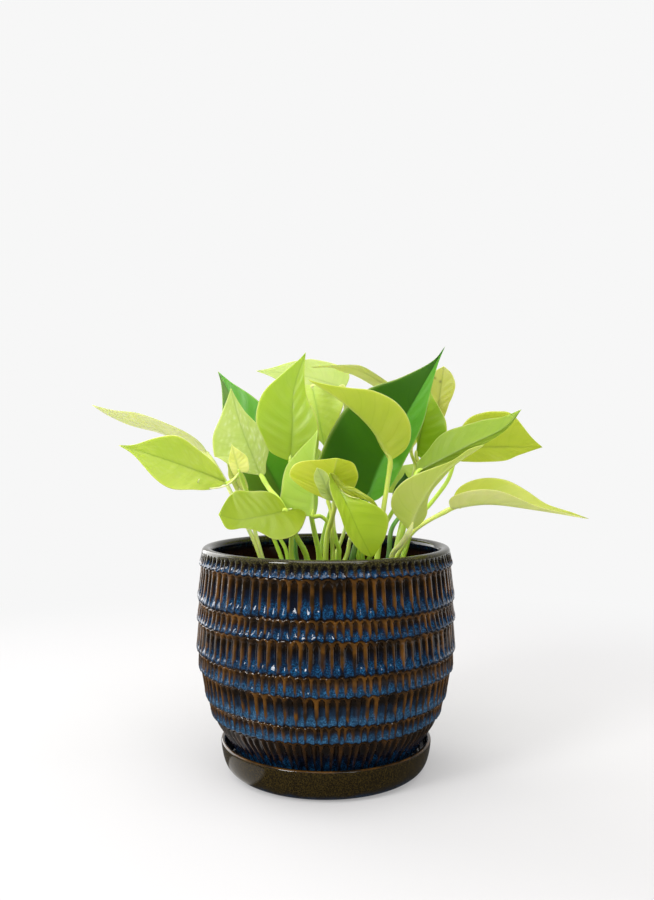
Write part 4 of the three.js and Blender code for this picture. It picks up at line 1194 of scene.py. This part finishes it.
class PothosStageSettings(bpy.types.PropertyGroup):
    """Floor, light and camera."""

    backdrop: colour_of("Backdrop", "Colour of the backdrop", "f7f7f7")
    floor: colour_of("Floor", "Colour of the floor", "b3b2b2")
    floor_mirror: colour_of("Floor in mirrors", "Colour of the floor as the glaze mirrors it", "464544")
    floor_glow: share_of("Floor glow", "How much the floor glows by itself", 0.68)
    patch_place: place_of("Patch place", "Middle of the patch that the glaze mirrors", (-0.084, -0.043, 0))
    patch_reach: size_of("Patch reach", "Half the width of that patch", 31)
    patch_glow: number_of("Patch glow", "How bright that patch is", 11)
    front_light: number_of("Front light", "Light of the room from the front", 0.6)
    front_mirror: number_of("Front in mirrors", "How bright the front of the room is in the glaze", 0.08)
    back_light: number_of("Back light", "Light of the room from behind", 0.9)
    room_way: bpy.props.FloatVectorProperty(
        name="Room way", description="Where the room is brightest", default=(-0.2, 0.75, 0.63),
        subtype="DIRECTION")
    table_edge: size_of("Table edge", "How far the table reaches before the pot", 450)
    key_place: place_of("Key place", "Middle of the key panel", (-0.95, -0.95, 0.95))
    key_size: place_of("Key size", "Width and height of the key panel", (0.38, 0.56), 2)
    key_power: number_of("Key power", "Watts of the key panel", 12)
    side_place: place_of("Side place", "Middle of the side panel", (-1.15, 1.05, 0.55))
    side_size: place_of("Side size", "Width and height of the side panel", (1.25, 1.5), 2)
    side_power: number_of("Side power", "Watts of the side panel", 18)
    fill_place: place_of("Fill place", "Middle of the fill panel", (0.7, -1.2, 1.0))
    fill_size: place_of("Fill size", "Width and height of the fill panel", (0.2, 0.2), 2)
    fill_power: number_of("Fill power", "Watts of the fill panel", 1.3)
    top_place: place_of("Top place", "Middle of the panel overhead", (0.05, -0.4, 1.5))
    top_size: place_of("Top size", "Width and height of the panel overhead", (1.1, 1.1), 2)
    top_power: number_of("Top power", "Watts of the panel overhead", 11.3)
    camera_place: place_of("Camera place", "Where the camera stands", (0.0007, -0.594, 0.219))


class POTHOS_OT_pot(bpy.types.Operator):
    """Makes the fluted pot"""

    bl_idname = "pothos.pot"
    bl_label = "Pot"

    def execute(self, context):
        make_pot(context)
        return {"FINISHED"}


class POTHOS_OT_saucer(bpy.types.Operator):
    """Makes the saucer"""

    bl_idname = "pothos.saucer"
    bl_label = "Saucer"

    def execute(self, context):
        make_saucer(context)
        return {"FINISHED"}


class POTHOS_OT_soil(bpy.types.Operator):
    """Makes the soil with its crumbs"""

    bl_idname = "pothos.soil"
    bl_label = "Soil"

    def execute(self, context):
        make_soil(context)
        return {"FINISHED"}


class POTHOS_OT_shoots(bpy.types.Operator):
    """Makes the leaves and stalks of all shoots"""

    bl_idname = "pothos.shoots"
    bl_label = "Leaves and stalks"

    def execute(self, context):
        make_shoots(context)
        return {"FINISHED"}


class POTHOS_OT_stage(bpy.types.Operator):
    """Makes the floor, the lights and the camera"""

    bl_idname = "pothos.stage"
    bl_label = "Stage"

    def execute(self, context):
        make_stage(context)
        return {"FINISHED"}


SETTINGS = {
    "pothos_pot": PothosPotSettings, "pothos_saucer": PothosSaucerSettings, "pothos_soil": PothosSoilSettings,
    "pothos_leaves": PothosLeafSettings, "pothos_stage": PothosStageSettings,
}
OPERATORS = {
    "pothos_pot": POTHOS_OT_pot, "pothos_saucer": POTHOS_OT_saucer, "pothos_soil": POTHOS_OT_soil,
    "pothos_leaves": POTHOS_OT_shoots, "pothos_stage": POTHOS_OT_stage,
}


class POTHOS_PT_panel(bpy.types.Panel):
    """Lists the operators, each with its settings"""

    bl_idname = "POTHOS_PT_panel"
    bl_label = "Potted neon pothos"
    bl_space_type = "VIEW_3D"
    bl_region_type = "UI"
    bl_category = "Pothos"

    def draw(self, context):
        for key, operator in OPERATORS.items():
            box = self.layout.box()
            box.operator(operator.bl_idname)
            for name in SETTINGS[key].__annotations__:
                box.prop(getattr(context.scene, key), name)


CLASSES = (*SETTINGS.values(), *OPERATORS.values(), POTHOS_PT_panel)


def register():
    """Registers the classes and hangs each group of settings on the scene."""
    for cls in CLASSES:
        bpy.utils.register_class(cls)
    for key, cls in SETTINGS.items():
        setattr(bpy.types.Scene, key, bpy.props.PointerProperty(type=cls))


def unregister():
    """Takes the settings and the classes away again."""
    for key in SETTINGS:
        delattr(bpy.types.Scene, key)
    for cls in reversed(CLASSES):
        bpy.utils.unregister_class(cls)


def main():
    """Makes the stage and every piece."""
    register()
    bpy.ops.pothos.stage()
    bpy.ops.pothos.pot()
    bpy.ops.pothos.saucer()
    bpy.ops.pothos.soil()
    bpy.ops.pothos.shoots()
    bpy.context.view_layer.update()


if __name__ == "__main__":
    main()
